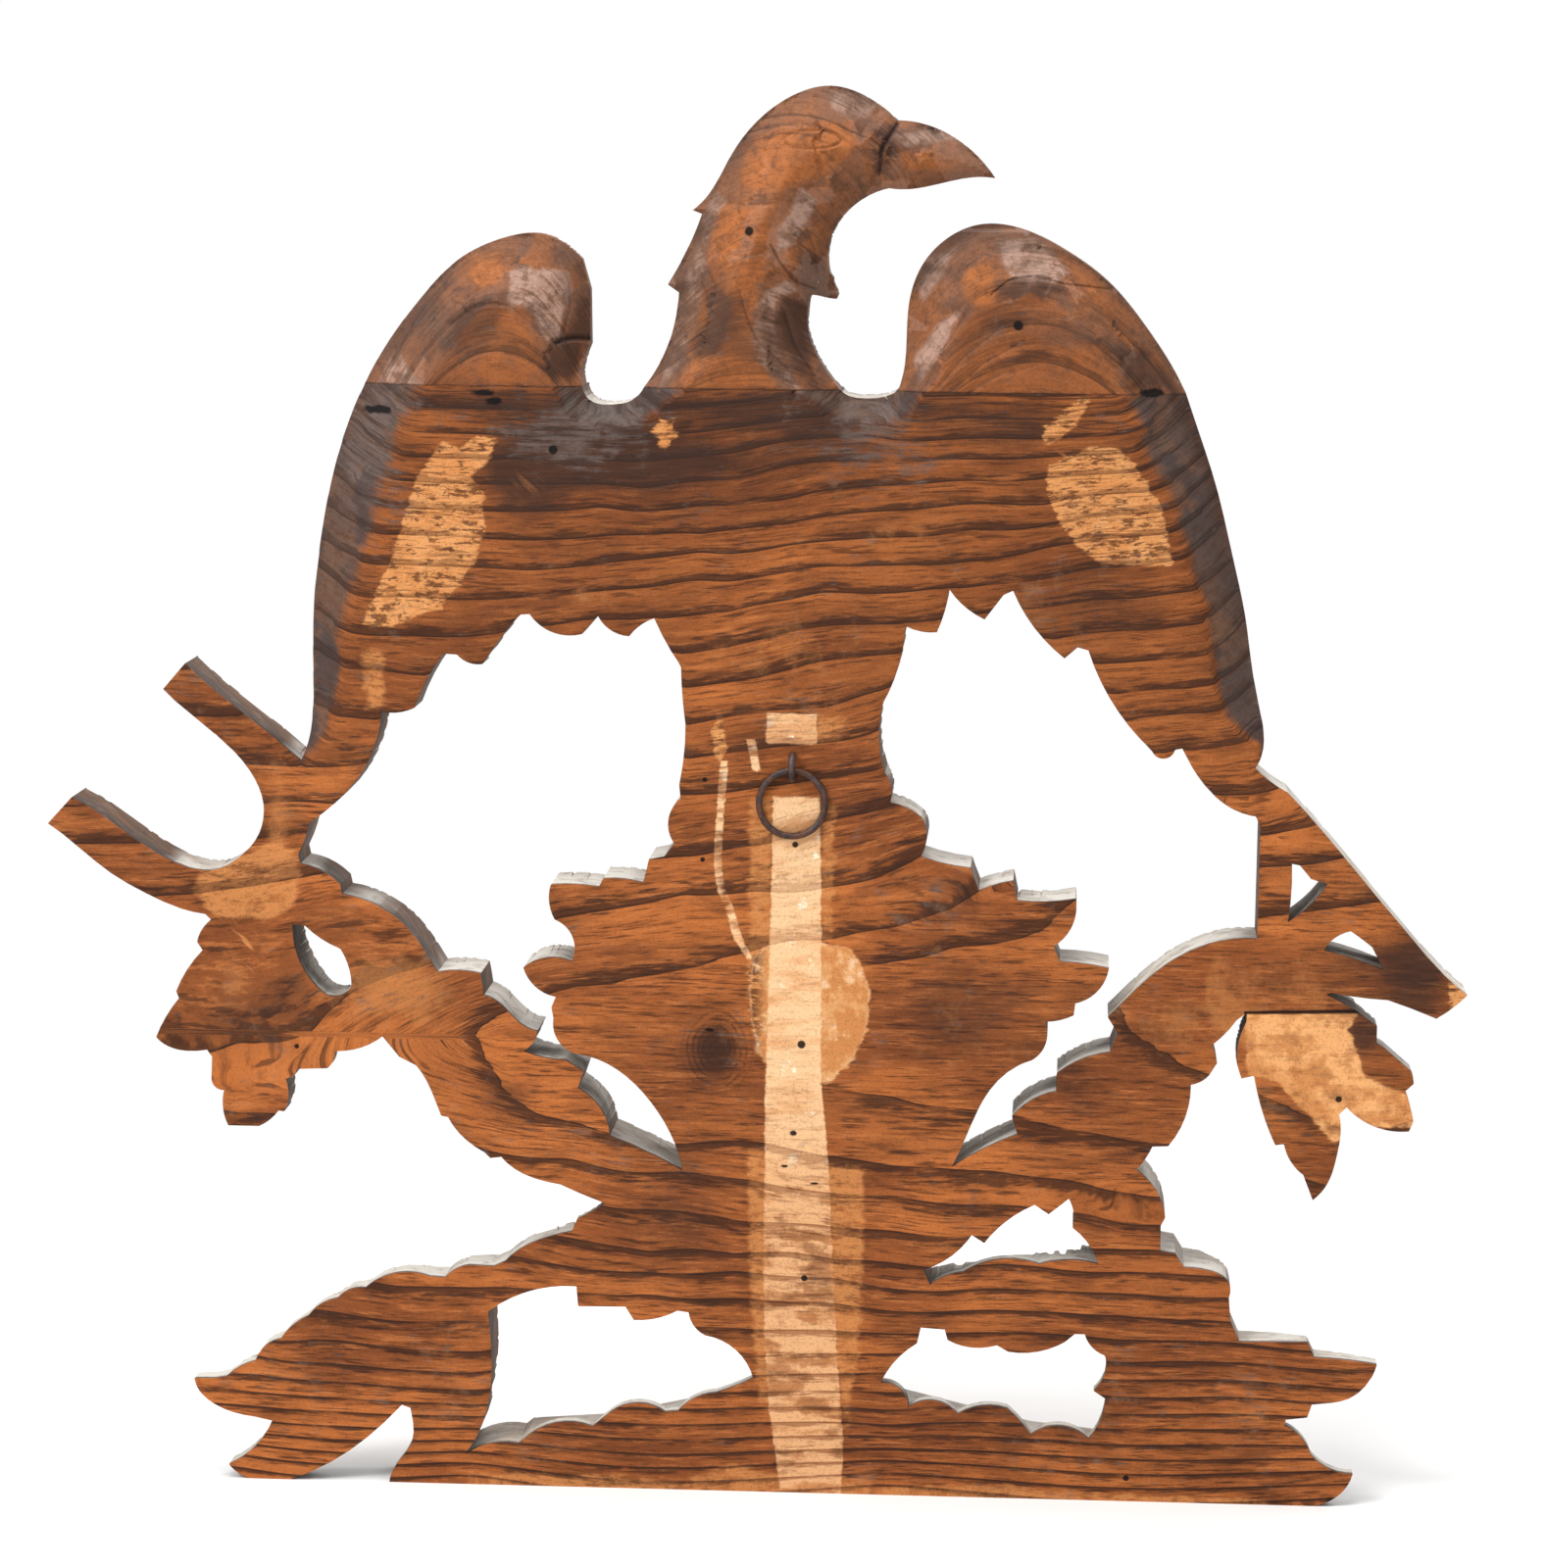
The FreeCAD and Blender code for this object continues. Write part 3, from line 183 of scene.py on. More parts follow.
# Latewood lines of the plank: ring number, then points along it
LATEWOOD = [
    (0, [
        (575, 382), (540, 376), (508, 360), (482, 338), (477, 315), (490, 300), (520, 298), (553, 297),
        (600, 289), (660, 281), (684, 277), (750, 268), (795, 261), (860, 252), (960, 240),
    ]),
    (0, [
        (600, 386), (640, 397), (680, 403), (706, 415), (726, 433), (790, 447), (855, 458), (915, 467),
        (980, 480),
    ]),
    (1, [
        (325, 343), (312, 335), (307, 322), (312, 308), (321, 296), (334, 281), (350, 271), (400, 260),
        (447, 253), (525, 251), (553, 246), (600, 241), (650, 238), (700, 235), (750, 227), (785, 222),
        (900, 205),
    ]),
    (1, [
        (342, 350), (360, 358), (400, 366), (430, 373), (460, 381), (500, 392), (553, 401), (600, 411),
        (640, 426), (660, 438), (750, 462), (852, 481), (890, 488), (960, 505),
    ]),
    (2, [
        (60, 300), (90, 306), (118, 311), (140, 317), (160, 321), (178, 329), (195, 345), (222, 362),
        (250, 370), (275, 379), (320, 396), (365, 414), (400, 420), (450, 430), (500, 434), (550, 439),
        (590, 449), (617, 463), (740, 490), (845, 510), (870, 516),
    ]),
    (2, [
        (60, 282), (125, 270), (168, 270), (240, 256), (303, 247), (370, 241), (450, 233), (500, 228),
        (550, 221), (600, 219), (690, 213), (740, 208), (790, 202), (900, 186),
    ]),
    (3, [
        (10, 420), (70, 423), (105, 424), (140, 429), (180, 437), (207, 442), (320, 447), (430, 456),
        (460, 459), (510, 468), (550, 485), (600, 498), (700, 520), (800, 541), (840, 547),
    ]),
    (3, [
        (60, 250), (200, 232), (300, 219), (390, 208), (430, 205), (480, 200), (550, 197), (650, 190),
        (740, 184), (790, 184), (900, 170),
    ]),
    (4, [
        (20, 459), (62, 461), (120, 465), (180, 470), (300, 487), (450, 502), (500, 509), (545, 516),
        (590, 524), (690, 550), (770, 563), (800, 567), (848, 576),
    ]),
    (4, [
        (200, 205), (330, 188), (370, 183), (400, 178), (430, 174), (490, 174), (560, 172), (640, 167),
        (720, 168), (835, 165), (940, 160),
    ]),
    (5, [
        (20, 486), (150, 490), (200, 491), (300, 507), (450, 528), (500, 536), (590, 552), (690, 572),
        (760, 580), (800, 584), (845, 592),
    ]),
    (5, [
        (180, 184), (280, 174), (330, 169), (380, 160), (430, 159), (490, 161), (560, 158), (650, 152),
        (720, 153), (840, 150), (940, 146),
    ]),
    (6, [
        (90, 517), (140, 519), (225, 520), (330, 536), (450, 552), (500, 562), (550, 567), (590, 580),
        (680, 592), (740, 600), (800, 606), (848, 618),
    ]),
    (6, [
        (130, 156), (235, 147), (300, 146), (378, 143), (430, 143), (490, 142), (570, 138), (650, 136),
        (760, 136), (838, 133), (940, 130),
    ]),
    (7, [
        (90, 552), (200, 554), (237, 553), (330, 563), (450, 578), (500, 586), (545, 598), (600, 605),
        (705, 617), (750, 624), (846, 640),
    ]),
    (7, [
        (110, 132), (190, 126), (230, 121), (300, 120), (455, 121), (490, 120), (570, 119), (760, 118),
        (845, 118), (950, 117),
    ]),
    (8, [
        (100, 586), (200, 588), (230, 587), (268, 583), (350, 590), (450, 603), (500, 613), (545, 623),
        (600, 626), (630, 630), (690, 638), (760, 646), (830, 657),
    ]),
    (8, [
        (100, 106), (160, 102), (250, 99), (310, 98), (500, 100), (580, 103), (760, 102), (890, 101),
        (960, 100),
    ]),
    (9, [
        (195, 614), (230, 611), (290, 611), (320, 614), (345, 619), (380, 625), (430, 628), (450, 630),
        (500, 638), (545, 647), (625, 651), (660, 655), (700, 660), (735, 668), (790, 674), (835, 684),
    ]),
    (9, [
        (90, 94), (150, 91), (200, 87), (315, 84), (450, 86), (590, 90), (760, 89), (900, 88), (960, 87),
    ]),
    (10, [
        (195, 641), (250, 639), (330, 640), (370, 643), (430, 650), (480, 654), (520, 661), (570, 666),
        (630, 668), (660, 672), (700, 681), (760, 689), (830, 703),
    ]),
    (10, [
        (90, 80), (135, 77), (250, 71), (310, 70), (450, 72), (600, 76), (760, 77), (900, 76), (960, 76),
    ]),
    (11, [
        (195, 661), (300, 661), (340, 660), (400, 666), (460, 674), (520, 680), (580, 686), (650, 693),
        (720, 701), (825, 715),
    ]),
    (11, [(90, 69), (150, 64), (250, 60), (400, 60), (600, 63), (760, 64), (960, 64)]),
    (12, [
        (200, 683), (310, 681), (380, 683), (460, 687), (520, 695), (600, 706), (700, 711), (820, 728),
    ]),
    (12, [(90, 58), (170, 52), (300, 50), (500, 51), (760, 53), (940, 53)]),
    (13, [
        (205, 704), (300, 701), (390, 705), (460, 707), (520, 713), (570, 722), (640, 727), (700, 730),
        (815, 745),
    ]),
    (13, [(120, 46), (300, 42), (600, 43), (940, 45)]),
    (14, [
        (210, 724), (340, 720), (420, 719), (480, 725), (520, 735), (580, 741), (660, 742), (720, 746),
        (810, 760),
    ]),
    (14, [(120, 38), (300, 33), (600, 35), (940, 37)]),
    (15, [
        (215, 742), (360, 737), (440, 739), (500, 748), (580, 757), (660, 757), (740, 760), (800, 772),
    ]),
    (15, [(120, 29), (300, 25), (600, 26), (940, 28)]),
    (16, [(220, 757), (360, 754), (500, 765), (600, 769), (700, 770), (790, 784)]),
    (16, [(120, 20), (300, 16), (600, 17), (940, 18)]),
    (17, [(225, 775), (360, 771), (500, 781), (600, 785), (700, 786), (790, 799)]),
    (17, [(120, 10), (300, 7), (600, 8), (940, 8)]),
    (-0.6, [(620, 345), (660, 350), (700, 330)]),
]

# Places on the back, in thousandths across and up

BARE_PATCHES = [
    [
        (280, 750), (262, 725), (256, 705), (250, 685), (243, 665), (236, 650), (228, 632), (222, 620),
        (230, 617), (250, 622), (280, 634), (292, 650), (303, 665), (310, 690), (308, 712), (300, 725),
        (312, 737), (318, 752), (304, 755), (292, 744),
    ],
    [
        (702, 740), (700, 725), (705, 710), (712, 695), (722, 685), (735, 672), (760, 670), (788, 672),
        (784, 690), (780, 712), (765, 735), (750, 752), (730, 752), (715, 745),
    ],
    [(698, 752), (708, 756), (722, 770), (730, 786), (722, 787), (708, 774), (697, 766)],
    [
        (424, 758), (431, 755), (428, 746), (434, 750), (436, 742), (438, 753), (446, 757), (440, 760),
        (442, 769), (435, 764), (430, 769), (430, 761),
    ],
    [(470, 549), (476, 560), (480, 540), (478, 525), (472, 530)],
    [(512, 880), (522, 883), (521, 889), (513, 888)],
    [(602, 838), (612, 840), (613, 849), (603, 848)],
    [(988, 362), (1002, 364), (1002, 380), (986, 388)],
]
LEAF_PATCH = [
    (848, 312), (853, 310), (870, 307), (880, 295), (895, 280), (910, 265), (925, 270), (938, 276),
    (965, 275), (975, 292), (950, 303), (930, 312), (925, 330), (918, 345), (925, 357), (846, 354),
]
STRIP_PATCHES = [
    [
        (513, 503), (512, 400), (510, 300), (510, 240), (510, 170), (511, 110), (515, 60), (521, 20),
        (524, -4), (567, -4), (568, 40), (563, 100), (559, 170), (555, 240), (549, 300), (548, 400),
        (546, 503),
    ],
    [(508, 562), (508, 541), (543, 540), (543, 562)],
    [
        (476, 528), (473, 480), (472, 455), (475, 435), (480, 425), (487, 400), (497, 385), (500, 387),
        (492, 402), (485, 426), (479, 437), (477, 455), (478, 480), (481, 528),
    ],
    [(494, 543), (499, 520), (504, 520), (500, 543)],
]
GLUE_PATCHES = [
    [
        (500, 388), (497, 365), (499, 342), (504, 322), (512, 306), (524, 298), (540, 295), (556, 300),
        (568, 312), (578, 328), (583, 348), (583, 366), (577, 384), (568, 397), (548, 400), (513, 400),
    ],
]
WORN_PATCHES = [
    [(553, 240), (580, 238), (580, 170), (578, 110), (570, 40), (560, 120)],
    [(498, 250), (513, 250), (512, 110), (516, 60), (508, 64), (501, 140)],
    [(497, 502), (513, 502), (513, 300), (504, 322), (497, 360)],
    [(548, 500), (556, 500), (556, 400), (548, 400)],
    [(543, 562), (562, 560), (562, 542), (543, 540)],
    [
        (105, 428), (107, 440), (118, 447), (130, 450), (145, 458), (155, 462), (165, 462), (178, 455),
        (180, 440), (177, 428), (175, 418), (168, 412), (160, 408), (140, 410), (118, 408),
    ],
    LEAF_PATCH,
    [(223, 600), (226, 560), (238, 562), (240, 602)],
    [
        (300, -4), (300, 8), (380, 9), (455, 6), (490, 20), (510, 13), (567, 13), (600, 6), (628, 8),
        (690, 8), (718, 5), (870, 3), (870, -4),
    ],
]
SMEARS = [
    (395, 768, 40, 18, 1.0), (578, 770, 36, 20, 1.1), (345, 752, 30, 26, 0.6), (560, 748, 26, 12, 0.6),
    (600, 735, 40, 14, 0.5), (225, 745, 26, 60, 0.7), (250, 770, 30, 14, 0.6), (780, 750, 26, 40, 0.5),
    (390, 740, 40, 14, 0.5),
]
DARKER = [
    (965, 388, 26, 34, 1.0), (150, 262, 18, 10, 0.7), (470, 318, 26, 30, 0.55), (670, 365, 70, 26, 0.40),
    (335, 728, 34, 30, 0.75), (430, 735, 60, 22, 0.5), (660, 752, 60, 24, 0.4), (560, 742, 60, 20, 0.4),
    (310, 779, 100, 15, 0.8), (385, 752, 44, 24, 0.9), (500, 777, 70, 14, 1.0), (540, 765, 40, 18, 0.6),
    (620, 778, 50, 12, 0.6), (450, 738, 80, 20, 0.55), (350, 735, 50, 18, 0.5), (470, 700, 60, 14, 0.4),
    (700, 770, 60, 14, 0.5), (510, 452, 60, 40, 0.3), (640, 335, 60, 50, 0.35), (400, 330, 60, 50, 0.3),
    (610, 250, 60, 40, 0.3), (700, 200, 60, 50, 0.3), (420, 240, 50, 40, 0.25), (560, 700, 90, 20, 0.25),
    (340, 640, 60, 40, 0.2), (620, 620, 80, 40, 0.2), (720, 630, 60, 60, 0.25), (250, 560, 60, 40, 0.2),
    (340, 700, 24, 20, 0.35), (760, 640, 40, 26, 0.35), (130, 335, 50, 40, 0.45), (170, 360, 24, 20, 0.4),
    (400, 150, 60, 30, 0.25), (700, 60, 130, 26, 0.3), (300, 110, 60, 30, 0.3), (880, 280, 20, 30, 0.35),
    (930, 335, 26, 14, 0.6), (190, 80, 50, 30, 0.35), (840, 110, 60, 30, 0.25), (545, 640, 60, 30, 0.25),
    (912, 295, 10, 8, 0.8), (525, 22, 9, 16, 0.6), (915, 392, 36, 26, 0.55), (888, 450, 30, 40, 0.45),
    (935, 350, 30, 16, 0.5), (190, 315, 30, 40, 0.3), (330, 280, 26, 22, 0.6), (450, 200, 40, 30, 0.5),
    (640, 430, 26, 24, 0.6), (725, 300, 26, 30, 0.5), (515, 635, 60, 60, -0.6), (440, 580, 60, 20, -0.3),
]
# Nail holes, painted as dark spots of shade and not cut: across, up and size
NAIL_HOLES = [
    (529, 469, 1.5), (535, 326, 2.0), (539, 157, 1.6), (769, 17, 1.5), (465, 514, 1.2), (464, 457, 1.2),
    (357, 745, 2.2), (491.5, 899, 2.6), (679, 836, 2.4), (912.5, 295, 1.6), (177, 317, 1.2),
    (861.5, 519.5, 1.2),
]
# Torn slots, painted dark as their shade and not cut: across, up and half sizes
SLOTS = [
    (232, 771, 8.5, 2.4), (308, 784, 6.4, 1.8), (316, 779, 4.8, 2.4), (772, 790, 7.7, 2.4),
    (470, 335, 2.4, 0.9), (545, 226, 2.6, 0.8), (524, 238, 2.0, 0.8), (530, 262, 2.0, 1.8),
]
# The knife's grooves on the back: points, width and depth in millimetres
GROOVES = [
    ([(616, 794), (627, 818), (645, 847)], 1.6, 0.6),
    ([(624, 792), (641, 813), (669, 836)], 1.6, 0.6),
    ([(634, 790), (656, 810), (684, 826)], 1.5, 0.7),
    ([(646, 789), (668, 802), (689, 807)], 1.4, 0.6),
    ([(702, 841), (731, 840), (761, 828), (781, 817)], 1.2, 0.4),
    ([(660, 857), (673, 868), (693, 870), (708, 865), (742, 861)], 0.9, 0.7),
    ([(284, 831), (299, 843), (314, 847), (328, 844), (345, 829), (354, 815)], 1.3, 0.6),
    ([(292, 805), (305, 812), (319, 814), (336, 809), (352, 800)], 1.3, 0.5),
    ([(311, 888), (325, 886), (342, 886), (356, 889)], 1.0, 0.4),
    ([(356, 877), (366, 861), (367, 844), (362, 824)], 1.4, 0.6),
    ([(358, 820), (368, 823), (380, 822)], 2.0, 1.6),
    ([(593, 974), (588, 965), (583, 957), (581, 940)], 1.7, 1.7),
    ([
        (513, 962), (522, 968), (538, 969), (552, 967), (556, 961), (546, 957), (530, 956), (518, 958),
        (513, 962),
    ], 1.1, 0.6),
    ([(589, 953), (620, 962), (652, 950)], 1.2, 0.4),
    ([(464, 921), (480, 917), (503, 917), (527, 923)], 1.2, 0.4),
    ([(460, 897), (472, 884), (492, 880), (511, 886)], 1.2, 0.4),
    ([(507, 890), (513, 878), (524, 864), (537, 859)], 1.6, 0.9),
    ([(531, 902), (537, 886), (539, 870)], 1.3, 0.6),
    ([(464, 870), (470, 858), (465, 842), (461, 818)], 1.6, 0.6),
    ([(486, 858), (490, 842), (498, 823), (520, 803)], 1.6, 0.7),
    ([(497, 811), (512, 801), (524, 791)], 1.3, 0.5),
    ([(516, 843), (524, 819), (538, 799)], 1.8, 0.9),
]
# Tints of the old patina on the carved upper parts, with pale facets as painted highlights and dark facets
# as old dirt and painted shade
PALE_FACET_HIGHLIGHTS = [
    [(456, 888), (460, 879), (460, 860), (453, 832), (445, 809), (429, 786), (439, 816), (443, 851)],
    [
        (519, 867), (528, 858), (512, 851), (509, 837), (510, 818), (519, 802), (531, 786), (519, 786),
        (501, 809), (496, 823), (498, 846), (503, 858),
    ],
    [(528, 930), (540, 921), (532, 902), (521, 888), (510, 884), (512, 902)],
    [(457, 909), (468, 926), (475, 919), (466, 902), (460, 888)],
    [(545, 996), (565, 997), (578, 986), (572, 978), (558, 978), (547, 983)],
    [
        (323, 870), (336, 874), (366, 870), (368, 855), (362, 833), (364, 813), (353, 820), (340, 842),
        (325, 846),
    ],
    [(664, 895), (691, 897), (715, 873), (704, 864), (674, 867), (666, 880)],
    [(642, 849), (631, 821), (610, 790), (605, 812), (623, 838)],
    [(614, 882), (636, 890), (623, 864), (610, 842), (608, 860)],
    [(592, 966), (625, 974), (650, 962), (630, 962), (600, 958)],
    [(232, 789), (262, 790), (246, 812), (240, 806)],
]
WARM_FACETS = [
    [(497, 856), (485, 844), (484, 836), (490, 829), (496, 822), (497, 837)],
    [(458, 860), (468, 852), (466, 839), (458, 828), (451, 814), (453, 832), (457, 846)],
    [(515, 888), (525, 886), (521, 872), (516, 881)],
    [(487, 958), (515, 972), (552, 975), (565, 963), (561, 949), (538, 935), (510, 926), (487, 930)],
    [(468, 916), (503, 916), (508, 888), (504, 865), (491, 853), (471, 856), (465, 874), (466, 898)],
    [(456, 810), (480, 814), (500, 806), (514, 789), (440, 789)],
    [(596, 956), (640, 950), (664, 938), (628, 941), (600, 942)],
    [(323, 842), (338, 828), (347, 807), (336, 790), (310, 791), (304, 800), (315, 820)],
    [(290, 880), (318, 884), (322, 860), (300, 856)],
    [(631, 790), (655, 819), (674, 832), (704, 819), (739, 823), (765, 795), (760, 788)],
    [(698, 895), (730, 873), (765, 834), (782, 803), (765, 808), (739, 847), (715, 873)],
    [(640, 872), (660, 880), (662, 850), (650, 846), (640, 855)],
]
# Dark facets: partly old dirt, partly painted shade on facets and hollows that lie in shade
DIRT_AND_SHADE_FACETS = [
    [
        (468, 855), (491, 852), (485, 842), (485, 832), (494, 821), (495, 811), (457, 811), (456, 823),
        (465, 835), (468, 844),
    ],
    [
        (517, 856), (533, 847), (533, 825), (538, 804), (552, 786), (538, 786), (524, 802), (515, 818),
        (510, 837),
    ],
    [(528, 888), (547, 881), (549, 865), (558, 851), (547, 847), (528, 856), (521, 870)],
    [(289, 837), (306, 848), (323, 842), (310, 826), (280, 815)],
    [(381, 859), (383, 837), (373, 791), (349, 793), (353, 815), (366, 837)],
    [(664, 864), (696, 869), (715, 862), (696, 851), (666, 847)],
    [(646, 847), (679, 851), (683, 834), (653, 832)],
    [(676, 823), (700, 823), (702, 812), (679, 812)],
    [(739, 823), (765, 823), (784, 795), (760, 790)],
    [(578, 974), (592, 972), (590, 948), (578, 940)],
    [(270, 900), (330, 920), (350, 912), (330, 900), (300, 896)],
    [(800, 788), (835, 700), (822, 700), (786, 788)],
]
# The pale round mark on the right branch
FAINT_PATCH = [
    (822, 398), (817, 380), (818, 360), (826, 345), (838, 335), (848, 331), (872, 338), (900, 342),
    (905, 366), (896, 388), (880, 398), (850, 401),
]
# Soft spots: across, up, half sizes and strength
SCRATCHES = [(340, 722, 20, 18, 0.4), (715, 745, 16, 20, 0.5), (138, 386, 13, 24, 0.9)]
RUBBED = [
    (505, 602, 50, 30, 0.42), (250, 360, 40, 24, 0.8), (800, 345, 26, 22, 0.4), (655, 310, 40, 30, 0.3),
    (163, 470, 8, 44, 0.7), (130, 372, 18, 20, 0.5), (600, 690, 30, 8, 0.3), (380, 640, 40, 8, 0.3),
]
# Sawn walls that stay dark although they face upward: the painted top light is held back there
DULL_WALLS = [
    (118, 578, 34, 34, 1.2), (150, 548, 26, 26, 0.9), (40, 484, 34, 24, 1.2), (74, 456, 24, 18, 0.8),
    (214, 440, 26, 12, 0.8), (262, 412, 40, 30, 0.7), (205, 395, 14, 30, 0.8), (858, 430, 30, 30, 0.6),
    (905, 385, 40, 20, 0.5),
]
# Cuts of the knife on the carved front: points, width and depth in millimetres
FRONT_CUTS = [
    ([(590, 951), (615, 947), (645, 942), (664, 939)], 1.4, 1.3),
    ([(603, 964), (609, 963)], 1.3, 1.2),
    ([(594, 984), (587, 968), (585, 954), (588, 944)], 1.6, 1.2),
    ([(536, 976), (552, 982), (568, 981), (580, 974)], 1.8, 1.0),
    ([(886, 352), (889, 325), (898, 292), (907, 262)], 1.3, 1.0),
    ([(889, 325), (878, 312), (864, 305)], 1.1, 0.8),
    ([(893, 312), (912, 308), (934, 300)], 1.1, 0.8),
    ([(898, 293), (888, 282), (882, 270)], 1.1, 0.8),
    ([(139, 398), (135, 360), (147, 318), (157, 276)], 1.3, 1.0),
    ([(136, 355), (124, 342), (110, 334)], 1.1, 0.8),
    ([(141, 338), (160, 334), (180, 326)], 1.1, 0.8),
    ([(149, 312), (166, 308), (182, 298)], 1.1, 0.8),
]
# The eye: across, up, radius in thousandths and depth in millimetres
EYE = (556, 965, 7.2, 1.1)
# Breast and neck: height share, middle across, half width
BREAST = [
    (0.560, 0.525, 0.042), (0.620, 0.522, 0.052), (0.700, 0.512, 0.055), (0.780, 0.498, 0.046),
    (0.850, 0.490, 0.034), (0.915, 0.504, 0.030),
]
# How fast the plank's rings climb with depth, and the height share where they turn over
GRAIN_TILT = 1.05
RING_MIDDLE = 0.325
# Grain of each glued piece: heights, ring numbers there, middle of the arches across, their bend,
# and the lean with depth
UPPER_GRAIN = {
    "left_wing_top": ((0.780, 0.8135, 0.847, 0.888, 0.920), (0, 1, 2, 3, 4), 0.318, 13.0, 0.8),
    "head_and_neck": (
        (0.780, 0.800, 0.830, 0.880, 0.920, 0.955, 1.0), (0, 1, 2, 3, 4, 5, 10), 0.500, 5.0, 0.6,
    ),
    "right_wing_top": ((0.780, 0.810, 0.836, 0.866, 0.900), (0, 1, 2, 3, 4), 0.690, 7.0, 0.8),
}
# The knot's place in shares
KNOT = (0.4755, 0.3215)


def across(share):
    """Metres across for a share across."""
    return (0.5 - share) * WIDTH


def shares_of(points):
    """Shares across and up for an array of (x, z)."""
    return 0.5 - points[:, 0] / WIDTH, points[:, 1] / HEIGHT


def metres(places):
    """(x, z) in metres for places in thousandths."""
    places = np.array(places, float) / 1000
    return np.stack([(0.5 - places[:, 0]) * WIDTH, places[:, 1] * HEIGHT], 1)


# Grain of the plank

# How far the fitted rings may leave their lines, and how many points are worked out at a time
RING_SLACK = 2e-6
AT_A_TIME = 4000


def thin_plate(radius_squared):
    """The thin-plate spline's kernel."""
    return 0.5 * radius_squared * np.log(np.maximum(radius_squared, 1e-12))


def fit_rings():
    """A smooth field over the plank that takes each latewood line's number along that line."""
    places = []
    numbers = []
    for number, line in LATEWOOD:
        places += line
        numbers += [number] * len(line)
    places = np.array(places, float) / 1000
    numbers = np.array(numbers, float)
    count = len(places)
    gaps = ((places[:, None] - places[None]) ** 2).sum(2)
    system = np.zeros((count + 3, count + 3))
    system[:count, :count] = thin_plate(gaps) + np.eye(count) * RING_SLACK
    system[:count, count] = 1
    system[:count, count + 1:] = places
    system[count:, :count] = system[:count, count:].T
    weights = np.linalg.solve(system, np.concatenate([numbers, np.zeros(3)]))
    return places, weights


RING_PLACES, RING_WEIGHTS = fit_rings()


def ring_field(shares_across, shares_up):
    """The plank's ring number at shares across and up."""
    values = np.zeros(len(shares_across))
    count = len(RING_PLACES)
    for start in range(0, len(values), AT_A_TIME):
        part = slice(start, start + AT_A_TIME)
        here = np.stack([shares_across[part], shares_up[part]], 1)
        gaps = ((here[:, None] - RING_PLACES[None]) ** 2).sum(2)
        bent = thin_plate(gaps) @ RING_WEIGHTS[:count]
        values[part] = bent + RING_WEIGHTS[count] + here @ RING_WEIGHTS[count + 1:]
    return values


def height_of_ring():
    """Height of each ring number at the plank's middle, above and below the rings' middle line."""
    tables = {}
    for above, end in ((True, 0.80), (False, 0.0)):
        heights = np.linspace(0.335 if above else 0.300, end, 240)
        rings = np.maximum.accumulate(ring_field(np.full(240, 0.5), heights))
        tables[above] = (rings + np.arange(240) * 1e-6, heights)
    return tables


RING_HEIGHTS = height_of_ring()


def plank_grain(coordinates):
    """Ring number, metres between rings, and height measured along the fibres, at points of the plank.

    The rings lean, so they climb with depth."""
    u, v = shares_of(coordinates[:, [0, 2]])
    leaned = v - GRAIN_TILT * (BACK - coordinates[:, 1]) / HEIGHT
    ring = ring_field(u, leaned)
    step = 0.002
    slope = np.hypot(
        (ring_field(u + step, leaned) - ring) / WIDTH, (ring_field(u, leaned + step) - ring) / HEIGHT,
    ) / step
    above = leaned > RING_MIDDLE
    follow = np.where(above, np.interp(ring, *RING_HEIGHTS[True]), np.interp(ring, *RING_HEIGHTS[False]))
    share = np.clip((ring - 0.9) / 1.2, 0, 0.85)
    return ring, 1 / np.maximum(slope, 12), (leaned * (1 - share) + follow * share) * HEIGHT


def upper_grain(node, coordinates):
    """The same for a glued piece, whose rings arch over its middle."""
    heights, rings, middle, bend, lean = UPPER_GRAIN[node]
    u, v = shares_of(coordinates[:, [0, 2]])
    leaned = v + bend * (u - middle) ** 2 + lean * (BACK - coordinates[:, 1]) / HEIGHT
    ring = np.interp(leaned, heights, rings) + 20
    pitch = np.interp(leaned, heights, np.gradient(heights, rings)) * HEIGHT
    return ring, pitch, leaned * HEIGHT


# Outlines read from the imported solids

# Loops with fewer corners or a smaller size than these are left out
FEWEST_CORNERS = 8
SMALLEST_LOOP = 0.006
# Extra points keep this far from the outline
OFF_THE_EDGE = 0.0004


def outline_loops(node, depth):
    """The closed outlines of a solid cut flat at a depth, as arrays of (x, z)."""
    cut = bmesh.new()
    cut.from_mesh(NODES[node].data)
    found = bmesh.ops.bisect_plane(
        cut, geom=cut.verts[:] + cut.edges[:] + cut.faces[:], plane_co=(0, BACK - depth, 0),
        plane_no=(0, 1, 0)
    )
    links = {}
    for item in found["geom_cut"]:
        if isinstance(item, bmesh.types.BMEdge):
            ends = [(round(v.co.x, 6), round(v.co.z, 6)) for v in item.verts]
            if ends[0] != ends[1]:
                links.setdefault(ends[0], set()).add(ends[1])
                links.setdefault(ends[1], set()).add(ends[0])
    cut.free()
    loops = []
    while links:
        start = next(iter(links))
        loop = [start]
        here = start
        while links.get(here):
            after = next(iter(links[here]))
            links[here].discard(after)
            links[after].discard(here)
            here = after
            if here == start:
                break
            loop.append(here)
        links = {key: value for key, value in links.items() if value}
        if len(loop) > FEWEST_CORNERS:
            loops.append(np.array(loop))
    return loops


def closed_edges(start, count):
    """Edges that join a run of points into a closed loop."""
    return [(start + number, start + (number + 1) % count) for number in range(count)]


def large(loop):
    """Whether a loop is large enough to keep."""
    return np.ptp(loop, 0).min() > SMALLEST_LOOP


